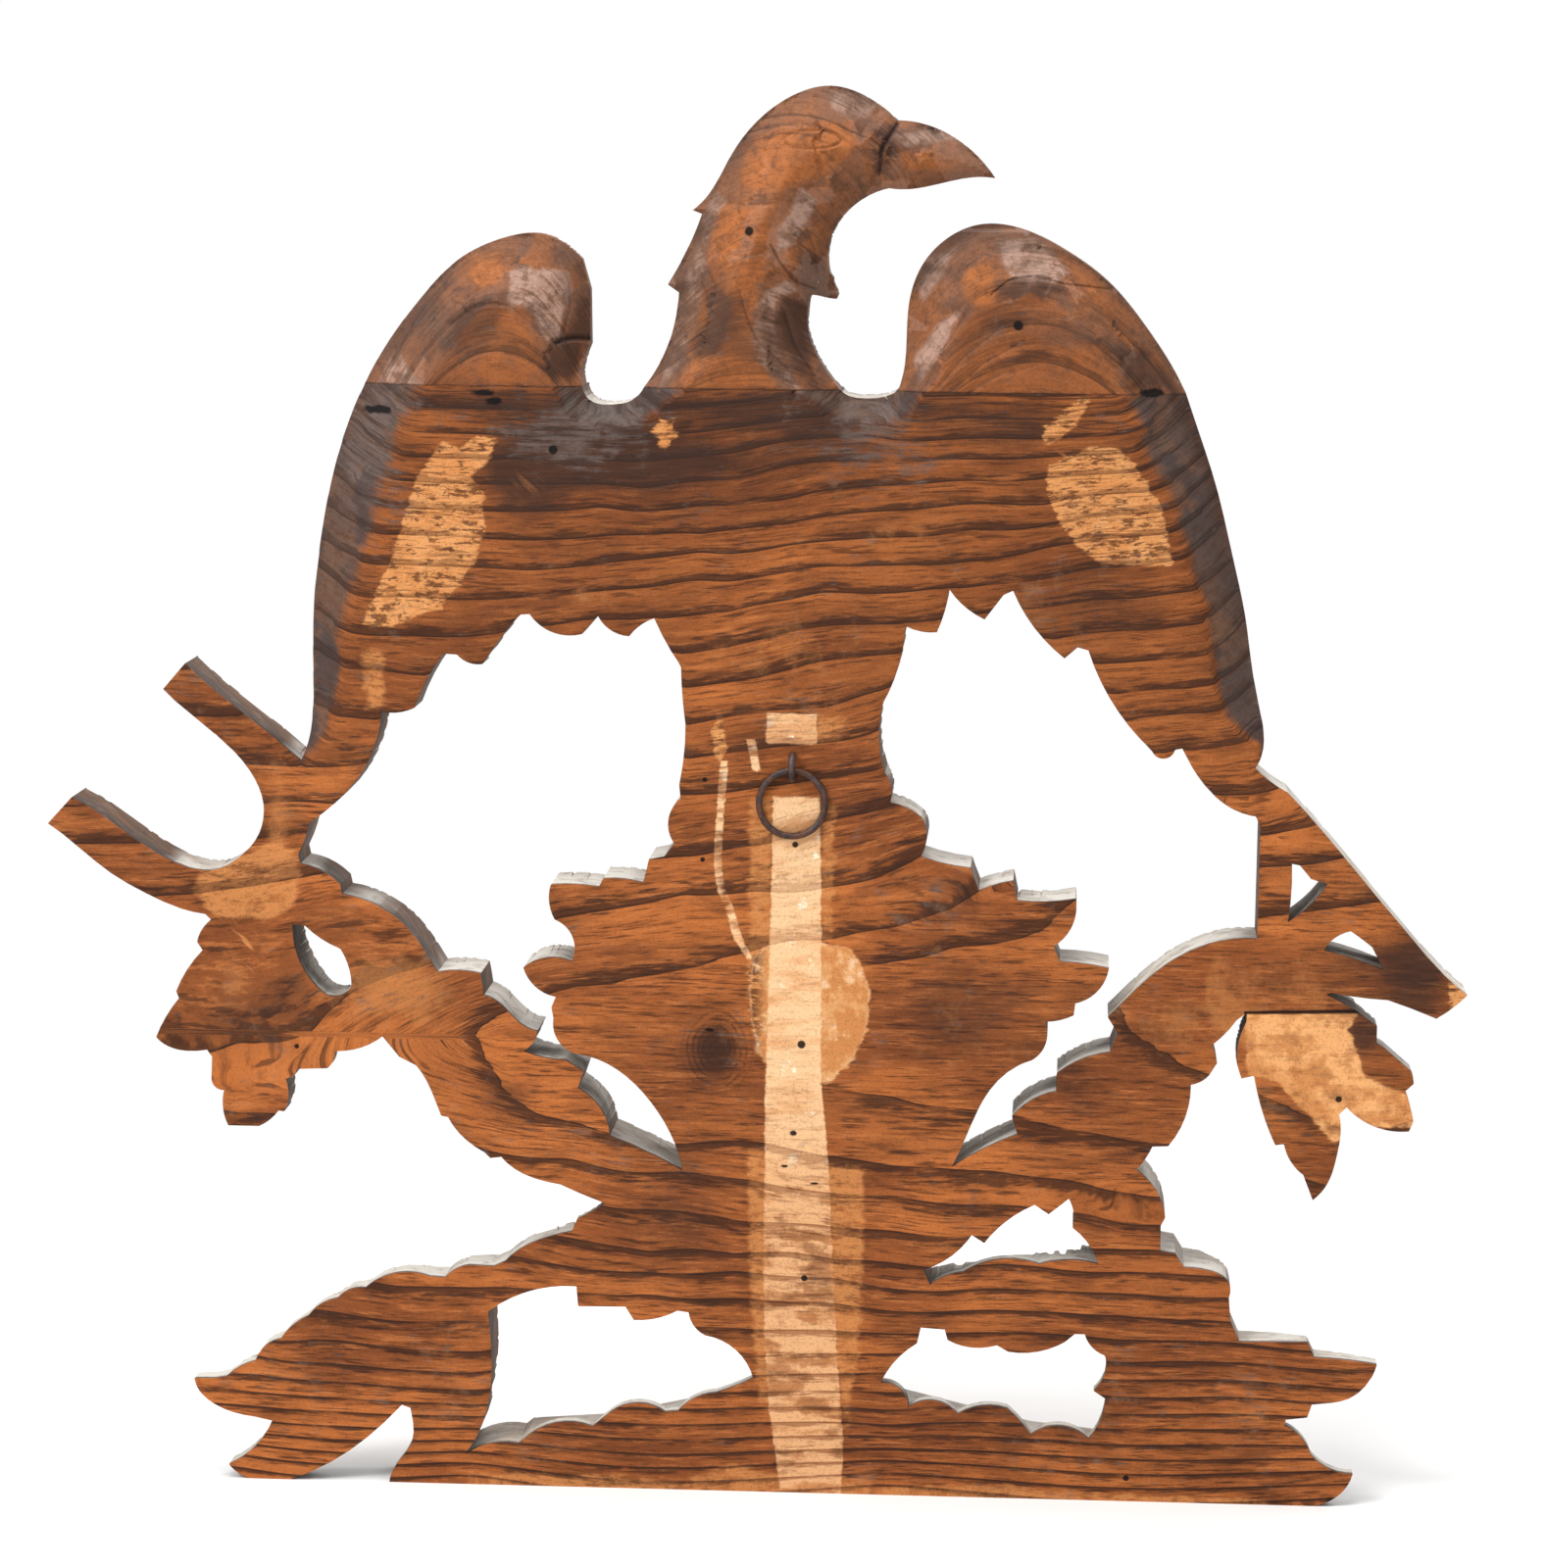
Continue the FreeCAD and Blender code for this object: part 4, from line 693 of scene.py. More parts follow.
def silhouette(node, depths):
    """The outline that a solid's cuts at several depths cover together."""
    sets = [[loop for loop in outline_loops(node, depth) if large(loop)] for depth in depths]
    points = []
    edges = []
    for loops in sets:
        for loop in loops:
            edges += closed_edges(len(points), len(loop))
            points += [Vector(point) for point in loop]
    result = delaunay_2d_cdt(points, edges, [], 0, 2e-5)
    flat = np.array([tuple(p) for p in result[0]])
    faces = np.array([tuple(f) for f in result[2]])
    centres = flat[faces].mean(1)
    covered = np.zeros(len(faces), bool)
    for loops in sets:
        if loops:
            covered |= inside(loops, centres)
    after = dict.fromkeys(edge for a, b, c in faces[covered] for edge in ((a, b), (b, c), (c, a)))
    border = {}
    for a, b in after:
        if (b, a) not in after:
            border.setdefault(a, []).append(b)
    loops = []
    while border:
        start = next(iter(border))
        loop = [start]
        here = start
        while here in border:
            there = border[here].pop()
            if not border[here]:
                del border[here]
            here = there
            if here == start:
                break
            loop.append(here)
        loop = flat[loop]
        if len(loop) > FEWEST_CORNERS and large(loop):
            loops.append(loop)
    return loops


def evened(loop, step):
    """A loop with its long edges divided and its shortest ones joined."""
    shortest = step * 0.3
    kept = [loop[0]]
    for point in loop[1:]:
        if np.hypot(*(point - kept[-1])) > shortest:
            kept.append(point)
    if np.hypot(*(kept[-1] - kept[0])) < shortest:
        kept.pop()
    points = []
    for here, there in zip(kept, kept[1:] + kept[:1]):
        pieces = max(1, math.ceil(np.hypot(*(there - here)) / step))
        for part in range(pieces):
            points.append(here + (there - here) * part / pieces)
    return np.array(points)


def inside_grid(loops, step):
    """Points of a triangular lattice that lie inside the loops."""
    starts = np.concatenate(loops)
    ends = np.concatenate([np.roll(loop, -1, 0) for loop in loops])
    low = starts.min(0)
    high = starts.max(0)
    points = []
    height = low[1] + step / 2
    row = 0
    while height < high[1]:
        crossing = (starts[:, 1] > height) != (ends[:, 1] > height)
        a = starts[crossing]
        b = ends[crossing]
        walls = np.sort(a[:, 0] + (height - a[:, 1]) / (b[:, 1] - a[:, 1]) * (b[:, 0] - a[:, 0]))
        columns = np.arange(low[0] + (row % 2) * step / 2, high[0], step)
        held = columns[np.searchsorted(walls, columns) % 2 == 1]
        points.append(np.stack([held, np.full(len(held), height)], 1))
        height += step * math.sqrt(3) / 2
        row += 1
    return np.concatenate(points)


def tree_of(points):
    """A search tree over (x, z) points."""
    tree = KDTree(len(points))
    for number, (x, z) in enumerate(points):
        tree.insert((x, 0, z), number)
    tree.balance()
    return tree


def nearest(tree, points):
    """Distance to, and number of, the nearest point of a tree."""
    distances = np.empty(len(points))
    numbers = np.empty(len(points), int)
    for place, (x, z) in enumerate(points):
        found = tree.find((x, 0, z))
        distances[place] = found[2]
        numbers[place] = found[1]
    return distances, numbers


def triangulated(loops, extra, step):
    """Points and triangles that fill the loops: a lattice, and extra points where detail needs them."""
    edges = []
    start = 0
    for loop in loops:
        edges += closed_edges(start, len(loop))
        start += len(loop)
    fixed = np.concatenate(loops)
    if len(extra):
        gaps, _ = nearest(tree_of(fixed), extra)
        extra = extra[(gaps > OFF_THE_EDGE) & inside(loops, extra)]
        fixed = np.concatenate([fixed, extra])
    lattice = inside_grid(loops, step)
    gaps, _ = nearest(tree_of(fixed), lattice)
    everything = np.concatenate([fixed, lattice[gaps > step * 0.45]])
    result = delaunay_2d_cdt([Vector(p) for p in everything], edges, [], 0, 1e-7)
    flat = np.array([tuple(p) for p in result[0]])
    faces = np.array([tuple(f) for f in result[2]])
    centres = flat[faces].mean(1)
    held = inside(loops, centres)
    return flat, faces[held]


def inside(loops, points):
    """Whether each point lies inside the loops."""
    starts = np.concatenate(loops)
    ends = np.concatenate([np.roll(loop, -1, 0) for loop in loops])
    (x0, z0), (x1, z1) = starts.T, ends.T
    odd = np.zeros(len(points), bool)
    for begin in range(0, len(points), AT_A_TIME):
        part = slice(begin, begin + AT_A_TIME)
        x, z = points[part].T[:, :, None]
        crossing = (z0 > z) != (z1 > z)
        with np.errstate(divide="ignore", invalid="ignore"):
            reach = x0 + (z - z0) / (z1 - z0) * (x1 - x0)
        odd[part] = ((reach > x) & crossing).sum(1) % 2 == 1
    return odd


def neighbours(faces):
    """The edges of all triangles, as pairs of points in both directions."""
    pairs = np.concatenate([faces[:, [0, 1]], faces[:, [1, 2]], faces[:, [2, 0]]])
    return np.concatenate([pairs, pairs[:, ::-1]])


def smoothed(values, faces, rounds):
    """Values on a triangulation, averaged with their neighbours."""
    count = len(values)
    pairs = neighbours(faces)
    number = np.bincount(pairs[:, 0], minlength=count)
    for _ in range(rounds):
        total = np.bincount(pairs[:, 0], values[pairs[:, 1]], count)
        values = (values + total) / (1 + number)
    return values


# How the knife rounded the edges of the back: height share, reach and drop

LEFT_BAND = [
    (0.522, 0.004, 0.0008), (0.545, 0.012, 0.003), (0.57, 0.016, 0.005), (0.60, 0.019, 0.007),
    (0.65, 0.028, 0.009), (0.70, 0.033, 0.011), (0.75, 0.033, 0.012), (0.80, 0.030, 0.013),
    (0.85, 0.028, 0.015), (0.90, 0.026, 0.016),
]
RIGHT_BAND = [
    (0.532, 0.004, 0.0008), (0.55, 0.010, 0.003), (0.57, 0.018, 0.006), (0.62, 0.021, 0.009),
    (0.68, 0.024, 0.010), (0.70, 0.028, 0.011), (0.75, 0.033, 0.012), (0.80, 0.032, 0.013),
    (0.85, 0.028, 0.015), (0.91, 0.026, 0.016),
]
WING_TOP_EDGE = [
    (0.77, 0.010, 0.007), (0.79, 0.012, 0.008), (0.82, 0.026, 0.013), (0.86, 0.036, 0.016),
    (0.91, 0.038, 0.017),
]
NECK_EDGE = [
    (0.77, 0.010, 0.007), (0.79, 0.013, 0.008), (0.82, 0.026, 0.013), (0.86, 0.030, 0.015),
    (1.0, 0.032, 0.016),
]
# Reach and drop of the beak's edges, and of the wear on every edge that the knife left sharp
BEAK_EDGE = (0.012, 0.010)
WEAR = (0.0011, 0.0006)
# How the beak leans forward: shares across at its root and tip, and the depth at the tip
BEAK_TIP = (0.585, 0.670, 0.014)
# Height share above which the head has its beak, and the notches beside the neck
BEAK_LOW = 0.9
NECK_SIDES = (0.30, 0.70)


def band_at(table, up):
    """Reach and drop of a rounded edge at shares up."""
    rows = np.array(table)
    return np.interp(up, rows[:, 0], rows[:, 1]), np.interp(up, rows[:, 0], rows[:, 2])


def edge_rounding(node, loop):
    """Reach and drop of the rounding at each point of an outline."""
    u, v = shares_of(loop)
    reach = np.full(len(loop), WEAR[0])
    drop = np.full(len(loop), WEAR[1])

    def put(where, table):
        reach[where], drop[where] = (part[where] for part in band_at(table, v))

    if node in ("left_wing_top", "right_wing_top"):
        put(v > 0, WING_TOP_EDGE)
    if node == "head_and_neck":
        put(v > 0, NECK_EDGE)
        beak = (u > BEAK_TIP[0]) & (v > BEAK_LOW)
        reach[beak], drop[beak] = BEAK_EDGE
    left, right = NECK_SIDES
    if node == "main_board":
        put((v > 0.772) & (u > left) & (u < right), NECK_EDGE)
    rise = v - 0.52
    put((u < left) & (v > 0.52) & (u < 0.18 + rise * 0.6) & (u > 0.175), LEFT_BAND)
    put((u > right) & (v > 0.53) & (u > 0.868 - rise * 0.55), RIGHT_BAND)
    return reach, drop


# The leaf's break: share across at its start, height share there, its length across and its rise
LEAF_BREAK = (0.847, 0.3555, 0.077, 0.0025)
# Shares across between which the two outlines share the break, and between which its crack shows
BREAK_GLUED = (0.8468, 0.9242)
BREAK_CRACKED = (0.8465, 0.925)


def leaf_break(u):
    """Height share of the leaf's break at a share across."""
    start, height, long, rise = LEAF_BREAK
    return height + (u - start) / long * rise


# Places where the outline is drawn a little further, in thousandths: across, up, radius,
# shift across, shift up
OUTLINE_SHIFTS = {"head_and_neck": [(549, 852, 9, 8.0, 1.5), (537, 851, 7, -1.0, 4.0)]}


def shifted(node, loop):
    """An outline with its corners drawn out where the knife left them longer."""
    u, v = shares_of(loop)
    for across_, up, radius, right, high in OUTLINE_SHIFTS.get(node, ()):
        near = np.exp(-((u * 1000 - across_) ** 2 + (v * 1000 - up) ** 2) / radius ** 2)
        loop = loop + near[:, None] * (-right / 1000 * WIDTH, high / 1000 * HEIGHT)
    return loop


def joint_points(node, loop):
    """Which outline points lie on a glued joint."""
    u, v = shares_of(loop)
    glued = np.abs(v - JOINT) < 2e-4
    if node in ("leaf_cluster", "main_board"):
        start, end = BREAK_GLUED
        glued |= (np.abs(v - leaf_break(u)) < 4e-4) & (u > start) & (u < end)
    return glued


# Depths at which a cut shows each solid's outline
OUTLINE_DEPTHS = {
    "main_board": (0.0099, 0.0120, 0.0135),
    "left_wing_top": (0.0155, 0.022, 0.026),
    "head_and_neck": (0.0155, 0.0195, 0.022, 0.026),
    "right_wing_top": (0.0155, 0.022, 0.026),
    "leaf_cluster": (0.005,),
}
# Facets: the rounding's depth where they start and where they are full, and how far they go below it
FACET_DEPTHS = (0.0002, 0.002, 0.0015)
# Width and depth of the breast's scale cuts
SCALE_CUT = (0.0014, 0.0011)


class KnifeEdges:
    """Every piece's outline, how the knife rounded it, and the facets it left."""

    def __init__(self, carving):
        self.outlines = {}
        points = []
        rounding = []
        for node, depths in OUTLINE_DEPTHS.items():
            loops = [evened(shifted(node, loop), carving.edge_step) for loop in silhouette(node, depths)]
            self.outlines[node] = loops
            for loop in loops:
                free = ~joint_points(node, loop)
                values = np.stack(edge_rounding(node, loop), 1)
                for _ in range(4):
                    values = (values + np.roll(values, 1, 0) + np.roll(values, -1, 0)) / 3
                points.append(loop[free])
                rounding.append(values[free])
        points = np.concatenate(points)
        self.tree = tree_of(points)
        self.rounding = np.concatenate(rounding)
        self.grooves = knife_lines(GROOVES)
        self.front_cuts = knife_lines(FRONT_CUTS)
        self.scales = scale_cuts()
        self.scale_tree = tree_of(self.scales[1])
        self.scatter_facets(carving)

    def smooth_depth(self, points):
        """The rounded back's depth at each (x, z), before the facets."""
        distance, number = nearest(self.tree, points)
        reach, drop = self.rounding[number].T
        left = np.clip(1 - distance / reach, 0, 1)
        u, v = shares_of(points)
        start, end, deep = BEAK_TIP
        beak = np.where(v > BEAK_LOW, deep * np.clip((u - start) / (end - start), 0, 1) ** 1.3, 0)
        return drop * left ** 1.8 + beak

    def scatter_facets(self, carving):
        """Middles of the facets, with the smooth surface's height and slope there, tilted a little."""
        self.facet = carving.facet
        rows = np.arange(0.52, 1.02, carving.facet / HEIGHT * 0.85)
        columns = np.arange(0.15, 0.90, carving.facet / WIDTH)
        u, v = np.meshgrid(columns, rows)
        chance = np.random.default_rng(7)
        u = u + (np.arange(len(rows)) % 2 * 0.5 * carving.facet / WIDTH)[:, None]
        places = np.stack([(0.5 - u.ravel()) * WIDTH, v.ravel() * HEIGHT], 1)
        places += chance.uniform(-0.36, 0.36, places.shape) * carving.facet
        middle = self.smooth_depth(places)
        probe = 0.0015
        slope = [
            (self.smooth_depth(places + step) - self.smooth_depth(places - step)) / (2 * probe)
            for step in ((probe, 0), (0, probe))
        ]
        self.facet_places = places
        self.facet_depths = middle
        tilt = chance.normal(0, carving.tilt, (len(places), 2))
        self.facet_slopes = np.stack(slope, 1) + tilt * (middle > 0.0004)[:, None]
        self.facet_chance = chance.uniform(0, 1, len(places))
        self.facet_tree = tree_of(places)

    def facets_at(self, points, where):
        """The number of the facet that holds each chosen point, and how deep its flat cut is there."""
        seeds = np.zeros(len(where), int)
        depths = np.zeros(len(where))
        for place, index in enumerate(where):
            x, z = points[index]
            deepest = -1.0
            for _, seed, far in self.facet_tree.find_n((x, 0, z), 7):
                offset = points[index] - self.facet_places[seed]
                cut = self.facet_depths[seed] + self.facet_slopes[seed] @ offset
                if cut > deepest and far < self.facet * 1.5:
                    deepest = cut
                    seeds[place] = seed
            depths[place] = deepest
        return seeds, depths

    def depth(self, points, facet_share):
        """How far the knife took the back down at each (x, z), with facets and grooves."""
        smooth = self.smooth_depth(points)
        start, full, deepest = FACET_DEPTHS
        carved = np.flatnonzero(smooth > start)
        _, flat = self.facets_at(points, carved)
        share = facet_share * np.clip(smooth[carved] / full, 0, 1)
        result = smooth.copy()
        result[carved] = smooth[carved] * (1 - share) + flat * share
        result = np.clip(result, 0, smooth + deepest)
        return result + line_depth(self.grooves, points)

    def cut_depth(self, points):
        """Depth of the front's cuts at each (x, z): lines, the eye and the scales of the breast."""
        depth = line_depth(self.front_cuts, points)
        u, v = shares_of(points)
        near = np.flatnonzero((v > 0.54) & (v < 0.94) & (u > 0.43) & (u < 0.60))
        if len(near):
            gap, _ = nearest(self.scale_tree, points[near])
            wide, deep = SCALE_CUT
            depth[near] = np.maximum(depth[near], deep * np.clip(1 - gap / wide, 0, 1))
        middle_u, middle_v, radius, deep = EYE
        far = np.hypot((u * 1000 - middle_u) * WIDTH, (v * 1000 - middle_v) * HEIGHT) / WIDTH
        ring = np.clip(1 - np.abs(far - radius) / 2.0, 0, 1)
        pupil = np.clip(1 - far / 2.4, 0, 1)
        return np.maximum(depth, np.maximum(ring, pupil) * deep / 1000)

    def front_points(self):
        """Rows of points on and beside the front's cuts."""
        middle_u, middle_v, radius, _ = EYE
        turn = np.linspace(0, 2 * math.pi, 28, endpoint=False)
        rows = []
        for wide in (-5.0, -2.2, 0.0, 2.2):
            far = radius + wide
            rows.append(metres(np.stack([middle_u + far * np.cos(turn), middle_v + far * np.sin(turn)], 1)))
        return np.concatenate([beside_lines(self.front_cuts), *self.scales, *rows])


def knife_lines(table):
    """Sampled lines of a table of cuts, with widths and depths in metres."""
    return [(dense_line(metres(line), 0.0008), wide / 1000, deep / 1000) for line, wide, deep in table]


def line_depth(lines, points):
    """Depth of knife lines at each (x, z)."""
    depth = np.zeros(len(points))
    for line, wide, deep in lines:
        gap = nearest_within(line, points, wide * 3)
        depth = np.maximum(depth, deep * np.clip(1 - gap / wide, 0, 1))
    return depth


def beside_lines(lines):
    """Rows of points on and beside knife lines, so the mesh follows them."""
    rows = []
    for line, wide, _ in lines:
        along = np.gradient(line, axis=0)
        along /= np.hypot(*along.T)[:, None]
        side = np.stack([along[:, 1], -along[:, 0]], 1)
        rows += [line + side * wide * offset for offset in (-1.05, 0, 1.05)]
    return np.concatenate(rows)


def scale_cuts():
    """Points along the small curved cuts that lie like scales over the breast and neck.

    The rows lie inside, on and outside each cut."""
    table = np.array(BREAST)
    turn = np.radians(np.linspace(-76, 76, 15))
    rows = ([], [], [])
    for number, up in enumerate(np.arange(0.572, 0.918, 0.0175)):
        middle = np.interp(up, table[:, 0], table[:, 1])
        half = np.interp(up, table[:, 0], table[:, 2])
        for across_ in np.arange(middle - half, middle + half, 0.0185) + (number % 2) * 0.00925:
            for row, scale in zip(rows, (0.80, 1.0, 1.18)):
                arc = [across_ + 0.0085 * scale * np.sin(turn), up - 0.0125 * scale * np.cos(turn)]
                row.append(metres(np.stack(arc, 1) * 1000))
    return [np.concatenate(row) for row in rows]


def dense_line(points, step):
    """A polyline through points, sampled evenly and softened."""
    samples = []
    for here, there in zip(points, points[1:]):
        pieces = max(1, round(np.hypot(*(there - here)) / step))
        samples += [here + (there - here) * part / pieces for part in range(pieces)]
    samples.append(points[-1])
    line = np.array(samples)
    for _ in range(12):
        line[1:-1] = (line[:-2] + 2 * line[1:-1] + line[2:]) / 4
    return line


def nearest_within(line, points, limit):
    """Distance from each point to a sampled line, exact only within the limit."""
    gaps = np.full(len(points), 1.0)
    near = np.flatnonzero(
        (points[:, 0] > line[:, 0].min() - limit) & (points[:, 0] < line[:, 0].max() + limit)
        & (points[:, 1] > line[:, 1].min() - limit) & (points[:, 1] < line[:, 1].max() + limit)
    )
    if len(near):
        gaps[near], _ = nearest(tree_of(line), points[near])
    return gaps


# The carved front

def surface_tree(node):
    """A ray-casting tree of a solid."""
    mesh = NODES[node].data
    return BVHTree.FromPolygons([v.co for v in mesh.vertices], [tuple(p.vertices) for p in mesh.polygons])


def crease_points(node, step):
    """Points on both sides of the solid's crisp front edges, seen from the front."""
    made = bmesh.new()
    made.from_mesh(NODES[node].data)
    bmesh.ops.remove_doubles(made, verts=made.verts, dist=1e-6)
    rows = []
    for edge in made.edges:
        if len(edge.link_faces) != 2:
            continue
        first, second = edge.link_faces
        if first.normal.dot(second.normal) > 0.86 or max(-first.normal.y, -second.normal.y) < 0.3:
            continue
        a, b = (np.array((v.co.x, v.co.z)) for v in edge.verts)
        if min(edge.verts[0].co.y, edge.verts[1].co.y) > BACK - 0.011:
            continue
        long = np.hypot(*(b - a))
        if long < 0.0005:
            continue
        side = np.array(((b - a)[1], -(b - a)[0])) / long * 0.00045
        pieces = max(1, round(long / step))
        middles = a + (b - a) * ((np.arange(pieces) + 0.5) / pieces)[:, None]
        rows += [middles + side, middles - side]
    made.free()
    if not rows:
        return np.zeros((0, 2))
    points = np.concatenate(rows)
    cells = np.round(points / (step * 0.4)).astype(int)
    _, kept = np.unique(cells, axis=0, return_index=True)
    return points[np.sort(kept)]


def front_depth(tree, points, thinnest):
    """The front surface's depth at each (x, z), from the solid."""
    depths = np.full(len(points), np.nan)
    for number, (x, z) in enumerate(points):
        hit = tree.ray_cast(Vector((x, -1, z)), Vector((0, 1, 0)))
        if hit[0] is not None:
            depths[number] = BACK - hit[0].y
    bad = np.isnan(depths)
    if bad.any():
        _, number = nearest(tree_of(points[~bad]), points[bad])
        depths[bad] = depths[~bad][number]
    return np.maximum(depths, thinnest)


def softened(values, faces, rounds, limit):
    """Values averaged with neighbours of about the same height, so steps stay crisp."""
    count = len(values)
    pairs = neighbours(faces)
    for _ in range(rounds):
        weight = np.exp(-((values[pairs[:, 0]] - values[pairs[:, 1]]) / limit) ** 2)
        total = np.bincount(pairs[:, 0], values[pairs[:, 1]] * weight, count)
        number = np.bincount(pairs[:, 0], weight, count)
        values = (values + total) / (1 + number)
    return values


# Values that the material reads

# Reach for places that no patch is near
NO_PATCH = -30.0


def signed_reach(polygon, u, v):
    """Millimetres inside (positive) or outside a polygon given in thousandths."""
    corners = np.array(polygon, float) / 1000 * (WIDTH, HEIGHT)
    points = np.stack([u * WIDTH, v * HEIGHT], 1)
    low = corners.min(0) - 0.03
    high = corners.max(0) + 0.03
    result = np.full(len(points), NO_PATCH)
    near = np.flatnonzero(((points > low) & (points < high)).all(1))
    points = points[near]
    best = np.full(len(points), 1e9)
    odd = np.zeros(len(points), bool)
    for a, b in zip(corners, np.roll(corners, -1, 0)):
        along = b - a
        part = np.clip(((points - a) @ along) / (along @ along), 0, 1)
        best = np.minimum(best, np.hypot(*(points - a - part[:, None] * along).T))
        crossing = (a[1] > points[:, 1]) != (b[1] > points[:, 1])
        slope = along[0] / along[1] if along[1] else 0
        odd ^= crossing & (points[:, 0] < a[0] + (points[:, 1] - a[1]) * slope)
    result[near] = np.where(odd, best, -best) * 1000
    return result


def spots(table, u, v):
    """Soft oval spots added up."""
    total = np.zeros(len(u))
    for across_, up, half_across, half_up, amount in table:
        far = ((u * 1000 - across_) / half_across) ** 2 + ((v * 1000 - up) / half_up) ** 2
        total += amount * np.exp(-far)
    return total


def put_values(mesh, name, values):
    """A number for each vertex, under a name that the material reads."""
    layer = mesh.attributes.new(name, "FLOAT", "POINT")
    layer.data.foreach_set("value", np.asarray(values, np.float32))


UPPER_PIECES = ("left_wing_top", "head_and_neck", "right_wing_top")
# Patches lie on the flat back, tints of the patina, painted highlights and painted shade also down the
# rounded edges
FLAT_BACK = 0.003
ROUNDED_BACK = 0.022
PATCHES = (
    ("bare", BARE_PATCHES, FLAT_BACK), ("strip", STRIP_PATCHES, FLAT_BACK),
    ("glue", GLUE_PATCHES, FLAT_BACK), ("worn", WORN_PATCHES, FLAT_BACK),
    ("pale", PALE_FACET_HIGHLIGHTS, ROUNDED_BACK), ("warm", WARM_FACETS, ROUNDED_BACK),
    ("dim", DIRT_AND_SHADE_FACETS, ROUNDED_BACK),
)


def add_values(mesh, node, knife):
    """Ring numbers, patches, stains and carving for the wood's material."""
    coordinates = np.empty(len(mesh.vertices) * 3, np.float32)
    mesh.vertices.foreach_get("co", coordinates)
    coordinates = coordinates.reshape(-1, 3).astype(float)
    flat = coordinates[:, [0, 2]]
    u, v = shares_of(flat)
    depth = BACK - coordinates[:, 1]
    upper = node in UPPER_PIECES
    ring, pitch, fibre = upper_grain(node, coordinates) if upper else plank_grain(coordinates)
    lines = np.ones(len(u))
    if upper:
        lines = np.full(len(u), 0.26 if node == "head_and_neck" else 0.55)
        lines = lines + 0.8 * np.clip((v - 0.955) / 0.015, 0, 1)
        lines = lines + 0.3 * np.clip((0.83 - v) / 0.03, 0, 1)
    for name, table, deepest in PATCHES:
        reach = np.full(len(u), NO_PATCH)
        for polygon in table:
            reach = np.maximum(reach, signed_reach(polygon, u, v))
        put_values(mesh, name, np.where(depth < deepest, reach, NO_PATCH))
    faint = np.clip(signed_reach(FAINT_PATCH, u, v) / 3 + 0.5, 0, 1)
    shallow = np.flatnonzero((depth > 0.0003) & (depth < ROUNDED_BACK))
    seeds, _ = knife.facets_at(flat, shallow)
    chance = np.full(len(u), 0.5)
    chance[shallow] = knife.facet_chance[seeds]
    nowhere = np.full(len(u), NO_PATCH)
    values = {
        "ring": ring,
        "pitch": pitch,
        "fibre": fibre,
        "depth": depth,
        "lines": np.clip(lines, 0, 1),
        "fine": np.clip((v - 0.752) / 0.012, 0, 1) * (not upper),
        "upper": np.full(len(u), float(upper)),
        "carved": np.clip(depth / 0.0028, 0, 1),
        "leaf": signed_reach(LEAF_PATCH, u, v) if node == "leaf_cluster" else nowhere,
        "smear": spots(SMEARS if node == "main_board" else [], u, v),
        "scratch": spots(SCRATCHES, u, v),
        "rubbed": spots(RUBBED, u, v) + 0.62 * faint,
        "dull": spots(DULL_WALLS, u, v),
        "darker": spots(DARKER, u, v),
        "facet": chance,
        "groove": np.where(depth < 0.025, line_depth(knife.grooves, flat), 0) * 1000,
    }
    for name, amounts in values.items():
        put_values(mesh, name, amounts)


# The wooden pieces

# The carved front's thinnest places before and after its cuts
THINNEST = 0.008
THINNEST_CUT = 0.004
# Drop and reach of the front's eased rim
EASED_RIM = (0.0010, 0.0028)
# Glued edges lie this far under the back, and the front's rim this far under the back's
GLUED_EDGE = 0.0003
LEAST_WALL = 0.002


def patch_points():
    """Points along the borders of the pale patches, where the back's mesh is finer."""
    borders = STRIP_PATCHES + BARE_PATCHES[:1] + GLUE_PATCHES
    return np.concatenate([dense_line(metres(line), 0.0015) for line in borders])


def carved_depth(node, knife, points, faces, rim_tree):
    """The carved front's depth at its points, with its cuts and its eased rim."""
    solid = front_depth(surface_tree(node), points, THINNEST)
    depths = softened(solid, faces, 3, 0.0007) - knife.cut_depth(points)
    gaps, _ = nearest(rim_tree, points)
    drop, reach = EASED_RIM
    depths -= drop * np.clip(1 - gaps / reach, 0, 1) ** 2
    return np.maximum(depths, THINNEST_CUT)


def meet_rim(depths, points, rim_tree, rim):
    """Depths in which the points on the outline take the outline's own."""
    gaps, numbers = nearest(rim_tree, points)
    return np.where(gaps < 1e-6, rim[numbers], depths)


def sawn_walls(loops, low, high, rows, start):
    """Rows of points from the back's rim to the front's, and the faces between them."""
    coordinates = []
    faces = []
    first = 0
    for loop in loops:
        count = len(loop)
        top = low[first:first + count]
        bottom = high[first:first + count]
        for level in np.linspace(0, 1, rows):
            depth = top + (bottom - top) * level
            coordinates.append(np.stack([loop[:, 0], BACK - depth, loop[:, 1]], 1))
        here = np.arange(count)
        there = (here + 1) % count
        for row in range(rows - 1):
            a = start + row * count
            b = a + count
            faces += [tuple(f) for f in np.stack([a + here, a + there, b + there, b + here], 1)]
        start += count * rows
        first += count
    return coordinates, faces


